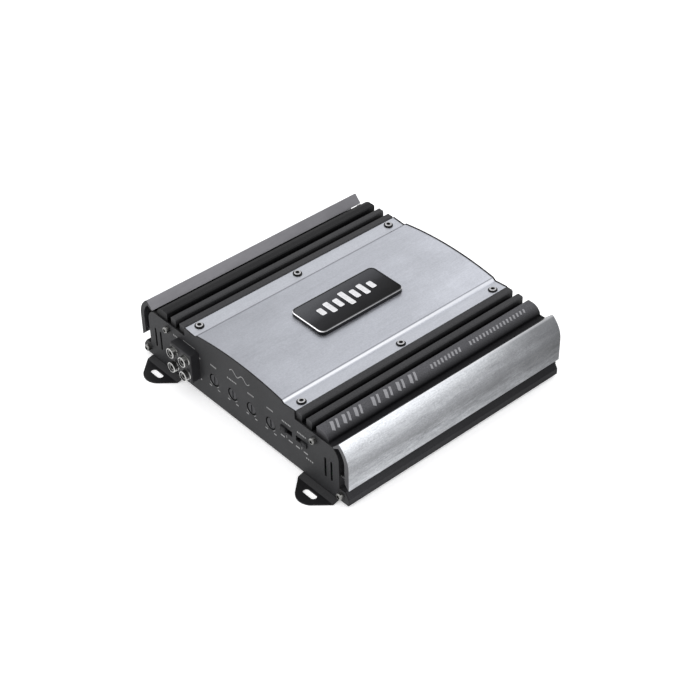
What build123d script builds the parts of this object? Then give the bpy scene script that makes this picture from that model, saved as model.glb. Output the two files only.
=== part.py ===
from build123d import *
import math
import os

# A car amplifier: a ribbed heatsink with a screwed cover, hooked side trims, two end
# panels, a base plate on four slotted feet, and the electronics inside.
# Millimetres. X across the ribs, Y along them, Z up from the surface the feet stand on.
# The origin is under the middle of the case. Heights called h start at the case bottom.

# ---- Driving dimensions of the case ----
CASE_LENGTH = 205.6
CASE_BOTTOM_Z = 2.6
PANEL_THICKNESS = 1.0
PANEL_FACE_Y = CASE_LENGTH / 2
HEATSINK_LENGTH = CASE_LENGTH - 2 * PANEL_THICKNESS
HEATSINK_END_Y = HEATSINK_LENGTH / 2
FIT_GAP = 0.15
SCREW_GAP = 0.05
SCREW_CLEARANCE = 0.2
SOCKET_FLOOR = 0.35
UPRIGHT = (Align.CENTER, Align.CENTER, Align.MIN)

# ---- Heatsink cross-section ----
WALL_OUTER_X = 105.5
WALL_INNER_X = 101.5
RAIL_OUTER_X = 115.0
RAIL_SIDE_H = 5.1
RAIL_CHAMFER_X = 111.5
RAIL_TOP_H = 10.5
BASE_FLANGE_X = 90.0
BASE_FLANGE_TOP_H = 5.0
DECK_BOTTOM_H = 39.2
DECK_TOP_H = 43.2
SHOULDER_X = 99.5
SHOULDER_START_H = 33.0
SHOULDER_MID = (103.8, 39.4)
RIB_TOP_H = 51.2
INNER_RIBS = ((61.2, 67.7), (72.3, 77.9))
WIDE_RIB_X = (82.7, 95.4)
WIDE_RIB_CREST = (92.4, 49.7)
WIDE_RIB_FLAT_X = 88.0
WIDE_RIB_EDGE_H = 45.9
HOOK_GROOVE_H = (20.8, 22.5)
HOOK_GROOVE_X = 104.3

# ---- Top cover ----
COVER_THICKNESS = 1.5
COVER_EDGE = (61.0, 50.4)
COVER_FLANGE_IN = (49.5, 49.4)
COVER_RISER_TOP = (46.9, 51.3)
COVER_CROWN_H = 55.3
COVER_SCREW_X = 56.4
COVER_SCREW_HEAD_RADIUS = 2.7
COVER_SCREW_HEAD_HEIGHT = 1.0
COVER_SCREW_SOCKET = 1.3
COVER_SCREW_RADIUS = 1.5
COVER_WASHER_RADIUS = 3.6
COVER_WASHER_THICKNESS = 0.4
COVER_SCREW_Y = (-92.4, 0.0, 92.4)

# ---- Side trim ----
TRIM_RIDGE = (106.2, 50.4)
TRIM_SHOULDER = (112.5, 43.9)
TRIM_OUTER_X = 115.6
TRIM_STRAIGHT_H = 34.1
TRIM_TIP_H = 14.2
TRIM_BEVEL_H = 18.2
TRIM_INNER_X = 111.5
TRIM_INNER_STRAIGHT_H = 33.5
TRIM_INNER_SHOULDER = (109.7, 41.2)
TRIM_LIP_ROOT = (105.6, 46.2)
TRIM_LIP_UNDER = (100.9, 43.3)
TRIM_LIP_END = (100.1, 44.1)
TRIM_LEG_GAP = 0.25
TRIM_LEG_INSET = 0.4

# ---- Base plate and feet ----
BASE_PLATE_THICKNESS = 1.2
BASE_PLATE_HALF_X = 95.8
BASE_SCREW_X = 92.9
BASE_SCREW_Y = (-70.0, 0.0, 70.0)
BASE_SCREW_RADIUS = 1.25
BASE_SCREW_HEAD_RADIUS = 2.6
BASE_SCREW_HEAD_HEIGHT = 1.15
BASE_SCREW_HOLE = 1.45
BASE_COLLAR_RADIUS = 3.0
FOOT_THICKNESS = 1.2
FOOT_X = 86.8
FOOT_HALF_WIDTH = 18.3
FOOT_RAMP_LENGTH = 5.4
FOOT_TIP_CENTRE_Y = 111.2
FOOT_TIP_RADIUS = 11.6
FOOT_CORNER_RADIUS = 1.6
FOOT_INNER_Y = 88.0
FOOT_SCREW_X = (76.0, 99.5)
FOOT_SCREW_Y = 94.5
FOOT_SCREW_RADIUS = 1.5
FOOT_SCREW_HEAD_RADIUS = 2.8
FOOT_SCREW_HEAD_HEIGHT = 0.9
SLOT_Y = 113.0
SLOT_LENGTH = 12.5
SLOT_RADIUS = 2.5

# ---- Panel features ----
PANEL_RIM = 0.35
VENT_X = (92.0, 98.2)
VENT_H = (12.1, 29.3)
VENT_WIDTH = 2.0
UPPER_PANEL_SCREW = (81.5, 38.3)
LOWER_PANEL_SCREW = (108.2, 6.0)
PANEL_SCREW_RADIUS = 1.5
PANEL_SCREW_HEAD_RADIUS = 2.6
PANEL_SCREW_HEAD_HEIGHT = 3.5

# ---- Phono jacks on the control panel ----
JACK_BLOCK_X = -57.7
JACK_BLOCK_H = 25.2
JACK_BLOCK_SIZE = 24.0
JACK_BLOCK_REACH = 8.0
JACK_REACH = 12.0
JACK_PITCH_X = 13.8
JACK_PITCH_H = 13.1
JACK_SHELL_RADIUS = 4.15
JACK_SHELL_BORE = 3.55
JACK_SHELL_DEPTH = 6.0
JACK_SHELL_FLARE = 0.6
JACK_ROOT_RADIUS = 4.4
JACK_PIN_BORE = 1.65
JACK_PIN_RELIEF = 2.1
JACK_SLEEVE_RADIUS = 2.5
JACK_PIN_GUIDE = 3.0
JACK_BACK_Y = 86.0

# ---- Rotary controls and slide switches on the control panel ----
CONTROL_NAMES = ("gain_knob", "crossover_knob", "bass_knob", "treble_knob")
CONTROL_FIRST_X = -28.8
CONTROL_PITCH = 21.0
CONTROL_H = 22.0
CONTROL_HOLE_RADIUS = 5.2
KNOB_RADIUS = 4.4
KNOB_SHAFT_RADIUS = 3.0
KNOB_SLOT = (1.3, 6.8, 1.3)
CONTROL_BODY_HALF = 6.2
CONTROL_BODY_Y = (-96.6, -86.6)
SWITCH_X = (51.6, 67.6)
SWITCH_H = 27.0
SWITCH_WINDOW = (12.0, 4.6)
SLIDER_WIDTH = 5.2
SLIDER_HEIGHT = 4.0
SLIDER_TRAVEL = 6.2
SLIDER_REACH = 1.4
SLIDER_GROOVES = (-1.4, 0.0, 1.4)
SWITCH_BODY_HALF = (7.6, 4.4)
SWITCH_WELL_HALF = (6.2, 2.4)

# ---- Circuit board and what stands on it ----
BOARD_BOTTOM_H = 10.0
BOARD_TOP_H = 11.6
BOARD_HALF_X = 99.5
BOARD_HALF_Y = 98.0
STANDOFF_XY = [(x, y) for x in (-84.0, 0.0, 84.0) for y in (-82.0, 80.0)]
TOROID_XY = (-34.0, 18.0)
TOROID_H = (12.4, 34.4)
TOROID_CORE_RADII = (12.0, 24.0)
TOROID_WIRE_THICKNESS = 2.0
TOROID_GAP = 0.2
TOROID_BUNDLES = 16
TOROID_BUNDLE_WIDTH = 3.2
CAPACITOR_XY = [(x, y) for x in (22.0, 44.0) for y in (-22.0, 2.0)]
CAPACITOR_RADIUS = 9.0
CAPACITOR_TOP_H = 36.0
CAPACITOR_NECK_H = (14.4, 15.4)
CAPACITOR_NECK_DEPTH = 0.6
CAPACITOR_SCORE = (10.0, 0.6, 0.4)
CHOKE_XY = (34.0, 40.0)
CHOKE_TOP_H = 26.0
CHOKE_FLANGE_RADIUS = 11.0
CHOKE_FLANGE_THICKNESS = 1.8
CHOKE_CORE_RADIUS = 8.4
CHOKE_WIRE_RADIUS = 9.2
CHOKE_TURNS = 6
CHOKE_TURN_PITCH = 1.8
CHOKE_BORE_RADIUS = 2.0
TRANSISTOR_Y = (-66.0, -44.0, -22.0, 0.0, 22.0, 44.0)
TRANSISTOR_WIDTH = 15.6
TRANSISTOR_DEPTH = 4.8
TRANSISTOR_H = (17.0, 32.8)
TRANSISTOR_LEGS = (-5.4, 0.0, 5.4)
PAD_THICKNESS = 0.5
PAD_GAP = 0.02
CLAMP_H = 31.5
CLAMP_THICKNESS = 2.5
CLAMP_BELOW = 3.5
CLAMP_ABOVE = 1.2
CLAMP_SCREW_RADIUS = 1.5
CLAMP_SCREW_HOLE = 1.7
CHIP_HEIGHT = 4.0
CHIP_WIDTH = 7.0
LONG_CHIP = 20.0
SHORT_CHIP = 10.0
LONG_CHIP_XY = ((-70.0, -48.0), (62.0, -46.0), (64.0, 22.0))
SHORT_CHIP_XY = [(x, -58.0) for x in (-46.0, -24.0, -2.0, 20.0)]

# ---- Terminals and fuses on the power panel ----
POWER_BLOCK_X = 58.0
POWER_PITCH = 13.0
POWER_COUNT = 3
SPEAKER_BLOCK_X = -56.0
SPEAKER_PITCH = 9.5
SPEAKER_COUNT = 4
TERMINAL_REACH = 13.0
TERMINAL_BACK_Y = 87.0
POWER_TOP_H = 31.0
SPEAKER_TOP_H = 27.0
POWER_HALF_WIDTH = POWER_COUNT * POWER_PITCH / 2 + 1.2
SPEAKER_HALF_WIDTH = SPEAKER_COUNT * SPEAKER_PITCH / 2 + 1.2
POWER_CAGE = {
    "half": 4.6, "low": 12.8, "high": 25.4, "wall": 0.9, "roof": 3.0, "screw": 2.45, "head": 3.7,
}
SPEAKER_CAGE = {
    "half": 3.5, "low": 12.8, "high": 22.0, "wall": 0.8, "roof": 2.6, "screw": 1.7, "head": 2.7,
}
TERMINAL_CHAMFER = 0.6
TERMINAL_WELL_GAP = 0.35
FUSE_HOLDER_X = 4.0
FUSE_PITCH = 12.0
FUSE_H = 24.0
FUSE_SIZE = (5.1, 12.0, 19.1)
FUSE_BLADE_OFFSET = 6.3
FUSE_BLADE = (0.7, 7.5, 5.2)
FUSE_SLOT = (1.6, 8.0, 6.0)
FUSE_CAP_DEPTH = 4.0
FUSE_GAP = 0.35
FUSE_BACK_Y = PANEL_FACE_Y + 0.4
FUSE_HOLDER_REACH = 5.0
FUSE_HOLDER_BACK_Y = 90.0
FUSE_HOLDER_HALF_X = FUSE_PITCH / 2 + 5.0
FUSE_HOLDER_H = (FUSE_H - 12.4, FUSE_H + 11.4)
LIGHT_XH = ((-20.0, 35.5), (-27.0, 35.5))
LIGHT_RADIUS = 1.5
LIGHT_Y = (PANEL_FACE_Y - 6.0, PANEL_FACE_Y + 1.2)

# ---- Badge ----
BADGE_LENGTH = 80.0
BADGE_WIDTH = 36.0
BADGE_CORNER = 5.0
BADGE_TOP_H = 58.2
BADGE_RIM = 1.2
BADGE_RIM_CHAMFER = 0.5
BADGE_POCKET_DEPTH = 0.8
BADGE_PLATE_THICKNESS = 0.5
BADGE_PLATE_GAP = 0.1
BADGE_BAR_X = -1.0
BADGE_BAR_RISE = 0.7
BADGE_BAR_CORNER = 1.0
BADGE_BAR_CHAMFER = 0.2
BADGE_BAR_WIDTH = 4.6
BADGE_BAR_PITCH = 8.0
BADGE_BAR_LENGTHS = (8.0, 13.0, 10.0, 17.0, 10.0, 13.0, 8.0)

os.makedirs("parts", exist_ok=True)


# ---- Helpers ----
def block(x, y, z):
    """A box between the given low and high limits."""
    low = (min(x), min(y), min(z))
    size = (abs(x[1] - x[0]), abs(y[1] - y[0]), abs(z[1] - z[0]))
    return Pos(*low) * Box(*size, align=(Align.MIN, Align.MIN, Align.MIN))


def rod_z(x, y, z, radius):
    """An upright cylinder from z[0] to z[1]."""
    return Pos(x, y, z[0]) * Cylinder(radius, z[1] - z[0], align=UPRIGHT)


def rod_y(x, z, y, radius):
    """A cylinder along Y from y[0] to y[1]."""
    turned = Rot(-90, 0, 0) * Cylinder(radius, y[1] - y[0], align=UPRIGHT)
    return Pos(x, y[0], z) * turned


def section_plane(y):
    """A plane across the case whose local x is X and local y is height above the case bottom."""
    return Plane(origin=(0, y, CASE_BOTTOM_Z), x_dir=(1, 0, 0), z_dir=(0, -1, 0))


def extrude_section(face, y_low, y_high):
    """Extrude a cross-section face, drawn as (x, h), from y_low to y_high."""
    return extrude(section_plane(y_high) * face, amount=y_high - y_low)


def polygon(points):
    """A flat face with straight edges through the points."""
    return make_face(Polyline(*points, close=True))


def mirror_x(shape):
    return mirror(shape, about=Plane.YZ)


def mirror_y(shape):
    return mirror(shape, about=Plane.XZ)


def both_sides(shape):
    return [shape, mirror_x(shape)]


def write(name, shapes):
    """Write one node: a solid, or several separate solids."""
    items = shapes if isinstance(shapes, (list, tuple)) else [shapes]
    solids = [solid for item in items for solid in item.solids()]
    shape = solids[0] if len(solids) == 1 else Compound(children=solids)
    export_step(shape, f"parts/{name}.step")


def height(h):
    """Z of a height above the case bottom."""
    return CASE_BOTTOM_Z + h


def heights(low, high):
    """The Z span between two heights above the case bottom."""
    return height(low), height(high)


def around(centre, half):
    """The span that reaches the same distance either side of a centre."""
    return centre - half, centre + half


def spread(centre, pitch, count):
    """Evenly spaced positions about a centre."""
    return [centre + (index - (count - 1) / 2) * pitch for index in range(count)]


# ---- Heatsink ----
def shoulder_line(offset=0.0):
    """The rounded shoulder from the side wall up to the deck."""
    start = (WALL_OUTER_X + offset, SHOULDER_START_H)
    middle = (SHOULDER_MID[0] + offset * 0.7, SHOULDER_MID[1] + offset * 0.7)
    end = (SHOULDER_X, DECK_TOP_H + offset)
    return start, middle, end


def shell_section():
    start, middle, end = shoulder_line()
    right = ThreePointArc(start, middle, end)
    left = mirror(right, about=Plane.YZ)
    lines = [
        Line((-WALL_OUTER_X, 0), (WALL_OUTER_X, 0)),
        Line((WALL_OUTER_X, 0), start),
        right,
        Line(end, (-end[0], end[1])),
        left,
        Line((-WALL_OUTER_X, 0), (-start[0], start[1])),
    ]
    outside = make_face(lines)
    hollow = polygon([
        (-WALL_INNER_X, -1), (WALL_INNER_X, -1), (WALL_INNER_X, DECK_BOTTOM_H - 5),
        (WALL_INNER_X - 5, DECK_BOTTOM_H), (-WALL_INNER_X + 5, DECK_BOTTOM_H),
        (-WALL_INNER_X, DECK_BOTTOM_H - 5),
    ])
    return outside - hollow


def rail_section():
    """Base rail: outer flange with a chamfer, and an inner flange rebated for the base plate."""
    rebate_x = BASE_PLATE_HALF_X + FIT_GAP
    rebate_h = BASE_PLATE_THICKNESS + FIT_GAP
    return polygon([
        (rebate_x, 0), (RAIL_OUTER_X, 0), (RAIL_OUTER_X, RAIL_SIDE_H), (RAIL_CHAMFER_X, RAIL_TOP_H),
        (WALL_INNER_X, RAIL_TOP_H), (WALL_INNER_X, BASE_FLANGE_TOP_H),
        (BASE_FLANGE_X, BASE_FLANGE_TOP_H), (BASE_FLANGE_X, rebate_h), (rebate_x, rebate_h),
    ])


def rib_section(x_low, x_high):
    corner = 0.8
    return polygon([
        (x_low, DECK_TOP_H - 1), (x_high, DECK_TOP_H - 1), (x_high, RIB_TOP_H - corner),
        (x_high - corner, RIB_TOP_H), (x_low + corner, RIB_TOP_H), (x_low, RIB_TOP_H - corner),
    ])


def wide_rib_section():
    low, high = WIDE_RIB_X
    corner = 0.8
    crest = ThreePointArc((WIDE_RIB_FLAT_X, RIB_TOP_H), WIDE_RIB_CREST, (high, WIDE_RIB_EDGE_H))
    rest = Polyline(
        (high, WIDE_RIB_EDGE_H), (high, DECK_TOP_H - 1), (low, DECK_TOP_H - 1),
        (low, RIB_TOP_H - corner), (low + corner, RIB_TOP_H), (WIDE_RIB_FLAT_X, RIB_TOP_H),
    )
    return make_face([crest, rest])


def screw_land_section():
    """The land under the cover's flange, just below its underside."""
    inner_x, inner_h = COVER_FLANGE_IN
    outer_x, outer_h = COVER_EDGE
    return polygon([
        (inner_x, DECK_TOP_H - 1), (INNER_RIBS[0][0] + 1, DECK_TOP_H - 1),
        (INNER_RIBS[0][0] + 1, outer_h - COVER_THICKNESS), (outer_x, outer_h - COVER_THICKNESS),
        (inner_x, inner_h - COVER_THICKNESS),
    ])


def make_heatsink():
    face = shell_section()
    boss = Pos(*UPPER_PANEL_SCREW) * Circle(4.0)
    pieces = [rail_section(), wide_rib_section(), screw_land_section(), boss]
    pieces += [rib_section(*limits) for limits in INNER_RIBS]
    for piece in pieces:
        face = face + piece + mirror_x(piece)
    groove = polygon([
        (HOOK_GROOVE_X, HOOK_GROOVE_H[0]), (WALL_OUTER_X + 1, HOOK_GROOVE_H[0]),
        (WALL_OUTER_X + 1, HOOK_GROOVE_H[1]), (HOOK_GROOVE_X, HOOK_GROOVE_H[1]),
    ])
    face = face - groove - mirror_x(groove)
    for spot in (UPPER_PANEL_SCREW, LOWER_PANEL_SCREW):
        hole = Pos(*spot) * Circle(PANEL_SCREW_RADIUS + SCREW_GAP)
        face = face - hole - mirror_x(hole)
    body = extrude_section(face, -HEATSINK_END_Y, HEATSINK_END_Y)
    cutters = []
    for y in COVER_SCREW_Y:
        hole = rod_z(0, 0, (-14, 6), COVER_SCREW_RADIUS + SCREW_GAP)
        cutters += both_sides(cover_seat(y) * hole)
    for y in BASE_SCREW_Y:
        hole = rod_z(BASE_SCREW_X, y, heights(-1, 6), BASE_SCREW_RADIUS + SCREW_GAP)
        cutters += both_sides(hole)
    for y in (-FOOT_SCREW_Y, FOOT_SCREW_Y):
        hole = rod_z(FOOT_SCREW_X[1], y, heights(-1, 8), FOOT_SCREW_RADIUS + SCREW_GAP)
        cutters += both_sides(hole)
    for y in clamp_screw_places():
        hole = Rot(0, 90, 0) * Cylinder(CLAMP_SCREW_RADIUS + SCREW_GAP, 3.4, align=UPRIGHT)
        cutters += both_sides(Pos(WALL_INNER_X - 0.4, y, height(CLAMP_H)) * hole)
    return body - cutters


# ---- Top cover ----
def cover_seat(y):
    """The place of a cover screw on the sloping flange, its local z square to the flange."""
    run = COVER_EDGE[0] - COVER_FLANGE_IN[0]
    rise = COVER_EDGE[1] - COVER_FLANGE_IN[1]
    seat_h = COVER_FLANGE_IN[1] + rise / run * (COVER_SCREW_X - COVER_FLANGE_IN[0])
    return Pos(COVER_SCREW_X, y, height(seat_h)) * Rot(0, -math.degrees(math.atan2(rise, run)), 0)


def cover_edge_points(drop, widen=0.0):
    edge = (COVER_EDGE[0] + widen, COVER_EDGE[1] - drop)
    flange = (COVER_FLANGE_IN[0], COVER_FLANGE_IN[1] - drop)
    riser = (COVER_RISER_TOP[0], COVER_RISER_TOP[1] - drop)
    return edge, flange, riser


def cover_top_lines(drop=0.0, widen=0.0):
    """The cover's upper outline from its left edge to its right edge, lowered by drop."""
    edge, flange, riser = cover_edge_points(drop, widen)
    right = Polyline(riser, flange, edge)
    left = Polyline((-edge[0], edge[1]), (-flange[0], flange[1]), (-riser[0], riser[1]))
    arch = ThreePointArc((-riser[0], riser[1]), (0, COVER_CROWN_H - drop), riser)
    return [left, arch, right]


def make_cover_section():
    upper = cover_top_lines()
    lower = cover_top_lines(COVER_THICKNESS)
    x, h = COVER_EDGE
    sides = [
        Line((-x, h), (-x, h - COVER_THICKNESS)),
        Line((x, h), (x, h - COVER_THICKNESS)),
    ]
    return make_face(upper + lower + sides)


def make_top_cover():
    cover = extrude_section(make_cover_section(), -HEATSINK_END_Y, HEATSINK_END_Y)
    for y in COVER_SCREW_Y:
        hole = rod_z(0, 0, (-8, 8), COVER_SCREW_RADIUS + SCREW_CLEARANCE)
        cover = cover - both_sides(cover_seat(y) * hole)
    return cover


def cap_screw(radius, length, head_radius, head_height, socket_radius):
    """A screw along +Z with its head's underside at z = 0 and a hexagonal socket."""
    shank = rod_z(0, 0, (-length, 0), radius)
    head = rod_z(0, 0, (0, head_height), head_radius)
    head = fillet(head.edges().sort_by(Axis.Z)[-1], min(head_height, head_radius) * 0.4)
    floor = Pos(0, 0, head_height * SOCKET_FLOOR)
    socket = extrude(floor * RegularPolygon(socket_radius, 6), amount=head_height)
    return shank + head - socket


def make_cover_screws():
    screw = cap_screw(
        COVER_SCREW_RADIUS, 8.0, COVER_SCREW_HEAD_RADIUS, COVER_SCREW_HEAD_HEIGHT, COVER_SCREW_SOCKET)
    lifted = Pos(0, 0, COVER_WASHER_THICKNESS + 0.04) * screw
    return [shape for y in COVER_SCREW_Y for shape in both_sides(cover_seat(y) * lifted)]


def make_cover_washers():
    washer = rod_z(0, 0, (0.02, 0.02 + COVER_WASHER_THICKNESS), COVER_WASHER_RADIUS)
    washer = washer - rod_z(0, 0, (-1, 2), COVER_SCREW_RADIUS + 0.4)
    return [shape for y in COVER_SCREW_Y for shape in both_sides(cover_seat(y) * washer)]


# ---- Side trims ----
def make_side_trim():
    """A curved side cover: a lip over the shoulder, a wall, and a leg in the heatsink's groove."""
    outer = ThreePointArc(TRIM_RIDGE, TRIM_SHOULDER, (TRIM_OUTER_X, TRIM_STRAIGHT_H))
    tail = Polyline(
        (TRIM_OUTER_X, TRIM_STRAIGHT_H), (TRIM_OUTER_X, TRIM_TIP_H), (TRIM_OUTER_X - 0.4, TRIM_TIP_H),
        (TRIM_INNER_X, TRIM_BEVEL_H), (TRIM_INNER_X, TRIM_INNER_STRAIGHT_H),
    )
    inner = ThreePointArc((TRIM_INNER_X, TRIM_INNER_STRAIGHT_H), TRIM_INNER_SHOULDER, TRIM_LIP_ROOT)
    lip = Polyline(TRIM_LIP_ROOT, TRIM_LIP_UNDER, TRIM_LIP_END, TRIM_RIDGE)
    leg_x = (HOOK_GROOVE_X + TRIM_LEG_INSET, TRIM_INNER_X + 0.9)
    leg_h = (HOOK_GROOVE_H[0] + TRIM_LEG_GAP, HOOK_GROOVE_H[1] - TRIM_LEG_GAP)
    leg = polygon([
        (leg_x[0], leg_h[0]), (leg_x[1], leg_h[0]), (leg_x[1], leg_h[1]), (leg_x[0], leg_h[1]),
    ])
    trim = extrude_section(make_face([outer, tail, inner, lip]) + leg, -PANEL_FACE_Y, PANEL_FACE_Y)
    notch_x = (HOOK_GROOVE_X, TRIM_INNER_X - 0.2)
    notch_h = heights(HOOK_GROOVE_H[0] - 1, HOOK_GROOVE_H[1] + 1)
    for y in ((-PANEL_FACE_Y - 1, -HEATSINK_END_Y + 0.3), (HEATSINK_END_Y - 0.3, PANEL_FACE_Y + 1)):
        trim = trim - block(notch_x, y, notch_h)
    return trim


# ---- End panels ----
def panel_section():
    """Panel outline: wings over the base rails, shoulders, and a top that follows the cover."""
    start, middle, end = shoulder_line(PANEL_RIM)
    edge, flange, riser = cover_edge_points(-PANEL_RIM, 0.1)
    arch = ThreePointArc((-riser[0], riser[1]), (0, COVER_CROWN_H + PANEL_RIM), riser)
    right = Polyline(
        (0, 0), (RAIL_OUTER_X, 0), (RAIL_OUTER_X, RAIL_SIDE_H), (RAIL_CHAMFER_X, RAIL_TOP_H),
        (start[0], RAIL_TOP_H), start,
    )
    shoulder = ThreePointArc(start, middle, end)
    top = Polyline(end, (edge[0], end[1]), edge, flange, riser)
    halves = [right, shoulder, top]
    mirrored = [mirror(line, about=Plane.YZ) for line in halves]
    return make_face(halves + mirrored + [arch])


def panel_cutters(face_y):
    """Vents and screw holes that both end panels share."""
    span = around(face_y, 3)
    cutters = []
    for x in VENT_X:
        middle_h = sum(VENT_H) / 2
        length = VENT_H[1] - VENT_H[0]
        slot = Pos(x, middle_h) * Rot(0, 0, 90) * SlotOverall(length, VENT_WIDTH)
        cutters += both_sides(extrude_section(slot, *span))
    for x, h in (UPPER_PANEL_SCREW, LOWER_PANEL_SCREW):
        cutters += both_sides(rod_y(x, height(h), span, PANEL_SCREW_RADIUS + SCREW_CLEARANCE))
    return cutters


def control_places():
    return [CONTROL_FIRST_X + index * CONTROL_PITCH for index in range(len(CONTROL_NAMES))]


def make_control_panel():
    panel = extrude_section(panel_section(), -PANEL_FACE_Y, -HEATSINK_END_Y)
    panel = panel - panel_cutters(-PANEL_FACE_Y)
    span = (-PANEL_FACE_Y - 3, -PANEL_FACE_Y + 3)
    half = JACK_BLOCK_SIZE / 2 + FIT_GAP
    opening = block(around(JACK_BLOCK_X, half), span, heights(*around(JACK_BLOCK_H, half)))
    cutters = [opening]
    cutters += [rod_y(x, height(CONTROL_H), span, CONTROL_HOLE_RADIUS) for x in control_places()]
    width, tall = SWITCH_WINDOW
    window_z = heights(*around(SWITCH_H, tall / 2))
    for x in SWITCH_X:
        cutters.append(block(around(x, width / 2), span, window_z))
    return panel - cutters


def make_power_panel():
    panel = extrude_section(panel_section(), HEATSINK_END_Y, PANEL_FACE_Y)
    span = around(PANEL_FACE_Y, 3)
    cutters = panel_cutters(PANEL_FACE_Y)
    for centre, half_width, low, high in (
        (POWER_BLOCK_X, POWER_HALF_WIDTH, BOARD_TOP_H + FIT_GAP, POWER_TOP_H),
        (SPEAKER_BLOCK_X, SPEAKER_HALF_WIDTH, BOARD_TOP_H + FIT_GAP, SPEAKER_TOP_H),
        (FUSE_HOLDER_X, FUSE_HOLDER_HALF_X, *FUSE_HOLDER_H),
    ):
        half = half_width + FIT_GAP
        h_span = heights(low - FIT_GAP, high + FIT_GAP)
        cutters.append(block(around(centre, half), span, h_span))
    for x, h in LIGHT_XH:
        cutters.append(rod_y(x, height(h), span, LIGHT_RADIUS + FIT_GAP))
    return panel - cutters


def make_panel_screws():
    screw = cap_screw(PANEL_SCREW_RADIUS, 9.0, PANEL_SCREW_HEAD_RADIUS, PANEL_SCREW_HEAD_HEIGHT, 1.5)
    near = Rot(90, 0, 0) * screw
    shapes = []
    for x, h in (UPPER_PANEL_SCREW, LOWER_PANEL_SCREW):
        placed = Pos(x, -PANEL_FACE_Y, height(h)) * near
        for shape in both_sides(placed):
            shapes += [shape, mirror_y(shape)]
    return shapes


# ---- Base plate and feet ----
def make_base_plate():
    end_y = HEATSINK_END_Y - 0.2
    x_span = (-BASE_PLATE_HALF_X, BASE_PLATE_HALF_X)
    plate = block(x_span, (-end_y, end_y), heights(0, BASE_PLATE_THICKNESS))
    for y in (-FOOT_SCREW_Y, FOOT_SCREW_Y):
        collar = rod_z(FOOT_SCREW_X[0], y, heights(0.5, 5), BASE_COLLAR_RADIUS)
        hole = rod_z(FOOT_SCREW_X[0], y, heights(-1, 6), FOOT_SCREW_RADIUS + SCREW_GAP)
        plate = plate + both_sides(collar) - both_sides(hole)
    for y in BASE_SCREW_Y:
        hole = rod_z(BASE_SCREW_X, y, heights(-1, 2), BASE_SCREW_HOLE)
        rim_radius = BASE_SCREW_HEAD_RADIUS + FIT_GAP
        sink = Cone(rim_radius, BASE_SCREW_HOLE, BASE_PLATE_THICKNESS, align=UPRIGHT)
        plate = plate - both_sides(hole + Pos(BASE_SCREW_X, y, height(0)) * sink)
    for x, y in STANDOFF_XY:
        plate = plate - rod_z(x, y, heights(-1, 2), BASE_SCREW_HOLE)
    return plate


def make_base_screws():
    head = Cone(BASE_SCREW_HEAD_RADIUS, BASE_SCREW_RADIUS, BASE_SCREW_HEAD_HEIGHT, align=UPRIGHT)
    socket = extrude(RegularPolygon(1.1, 6), amount=0.7)
    screw = rod_z(0, 0, (0.0, 4.8), BASE_SCREW_RADIUS) + head - socket
    shapes = []
    for y in BASE_SCREW_Y:
        shapes += both_sides(Pos(BASE_SCREW_X, y, height(0.02)) * screw)
    return shapes


def foot_outline():
    """Plan of the front right foot: a straight flange, then an ear that narrows to a round tip."""
    bend_y = PANEL_FACE_Y + FOOT_RAMP_LENGTH
    corner_x = FOOT_HALF_WIDTH - FOOT_CORNER_RADIUS
    corner_y = -bend_y + FOOT_CORNER_RADIUS / 2
    corners = [Pos(FOOT_X + side * corner_x, corner_y) * Circle(FOOT_CORNER_RADIUS) for side in (-1, 1)]
    tip = Pos(FOOT_X, -FOOT_TIP_CENTRE_Y) * Circle(FOOT_TIP_RADIUS)
    ear = make_hull([shape.edge() for shape in corners + [tip]])
    length = bend_y - FOOT_INNER_Y
    flange = Pos(FOOT_X, -FOOT_INNER_Y - length / 2) * Rectangle(2 * FOOT_HALF_WIDTH, length)
    return ear + flange


def make_foot():
    """The front right foot: a flange under the case, a ramp, and an ear on the floor."""
    t = FOOT_THICKNESS
    top = CASE_BOTTOM_Z - 0.02
    ramp_start = PANEL_FACE_Y + 0.2
    ramp_end = PANEL_FACE_Y + FOOT_RAMP_LENGTH
    lean = 0.2
    tip = FOOT_TIP_CENTRE_Y + FOOT_TIP_RADIUS + 1
    side = polygon([
        (-FOOT_INNER_Y, top - t), (-FOOT_INNER_Y, top), (-ramp_start - lean, top), (-ramp_end - lean, t),
        (-tip, t), (-tip, 0), (-ramp_end + lean, 0), (-ramp_start + lean, top - t),
    ])
    start_x = FOOT_X - FOOT_HALF_WIDTH - 1
    strip = extrude(Plane(origin=(start_x, 0, 0), x_dir=(0, 1, 0), z_dir=(1, 0, 0)) * side,
                    amount=2 * FOOT_HALF_WIDTH + 2)
    foot = strip & extrude(Pos(0, 0, -1) * foot_outline(), amount=8)
    slot = extrude(Pos(FOOT_X, -SLOT_Y, -1) * SlotOverall(SLOT_LENGTH, 2 * SLOT_RADIUS), amount=6)
    foot = foot - slot
    for x in FOOT_SCREW_X:
        foot = foot - rod_z(x, -FOOT_SCREW_Y, (-1, 6), FOOT_SCREW_RADIUS + SCREW_CLEARANCE)
    return foot


def make_feet_screws():
    screw = cap_screw(FOOT_SCREW_RADIUS, 5.2, FOOT_SCREW_HEAD_RADIUS, FOOT_SCREW_HEAD_HEIGHT, 1.2)
    screw = Rot(180, 0, 0) * screw
    seat = CASE_BOTTOM_Z - FOOT_THICKNESS - 0.03
    shapes = []
    for x in FOOT_SCREW_X:
        for shape in both_sides(Pos(x, -FOOT_SCREW_Y, seat) * screw):
            shapes += [shape, mirror_y(shape)]
    return shapes


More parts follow.
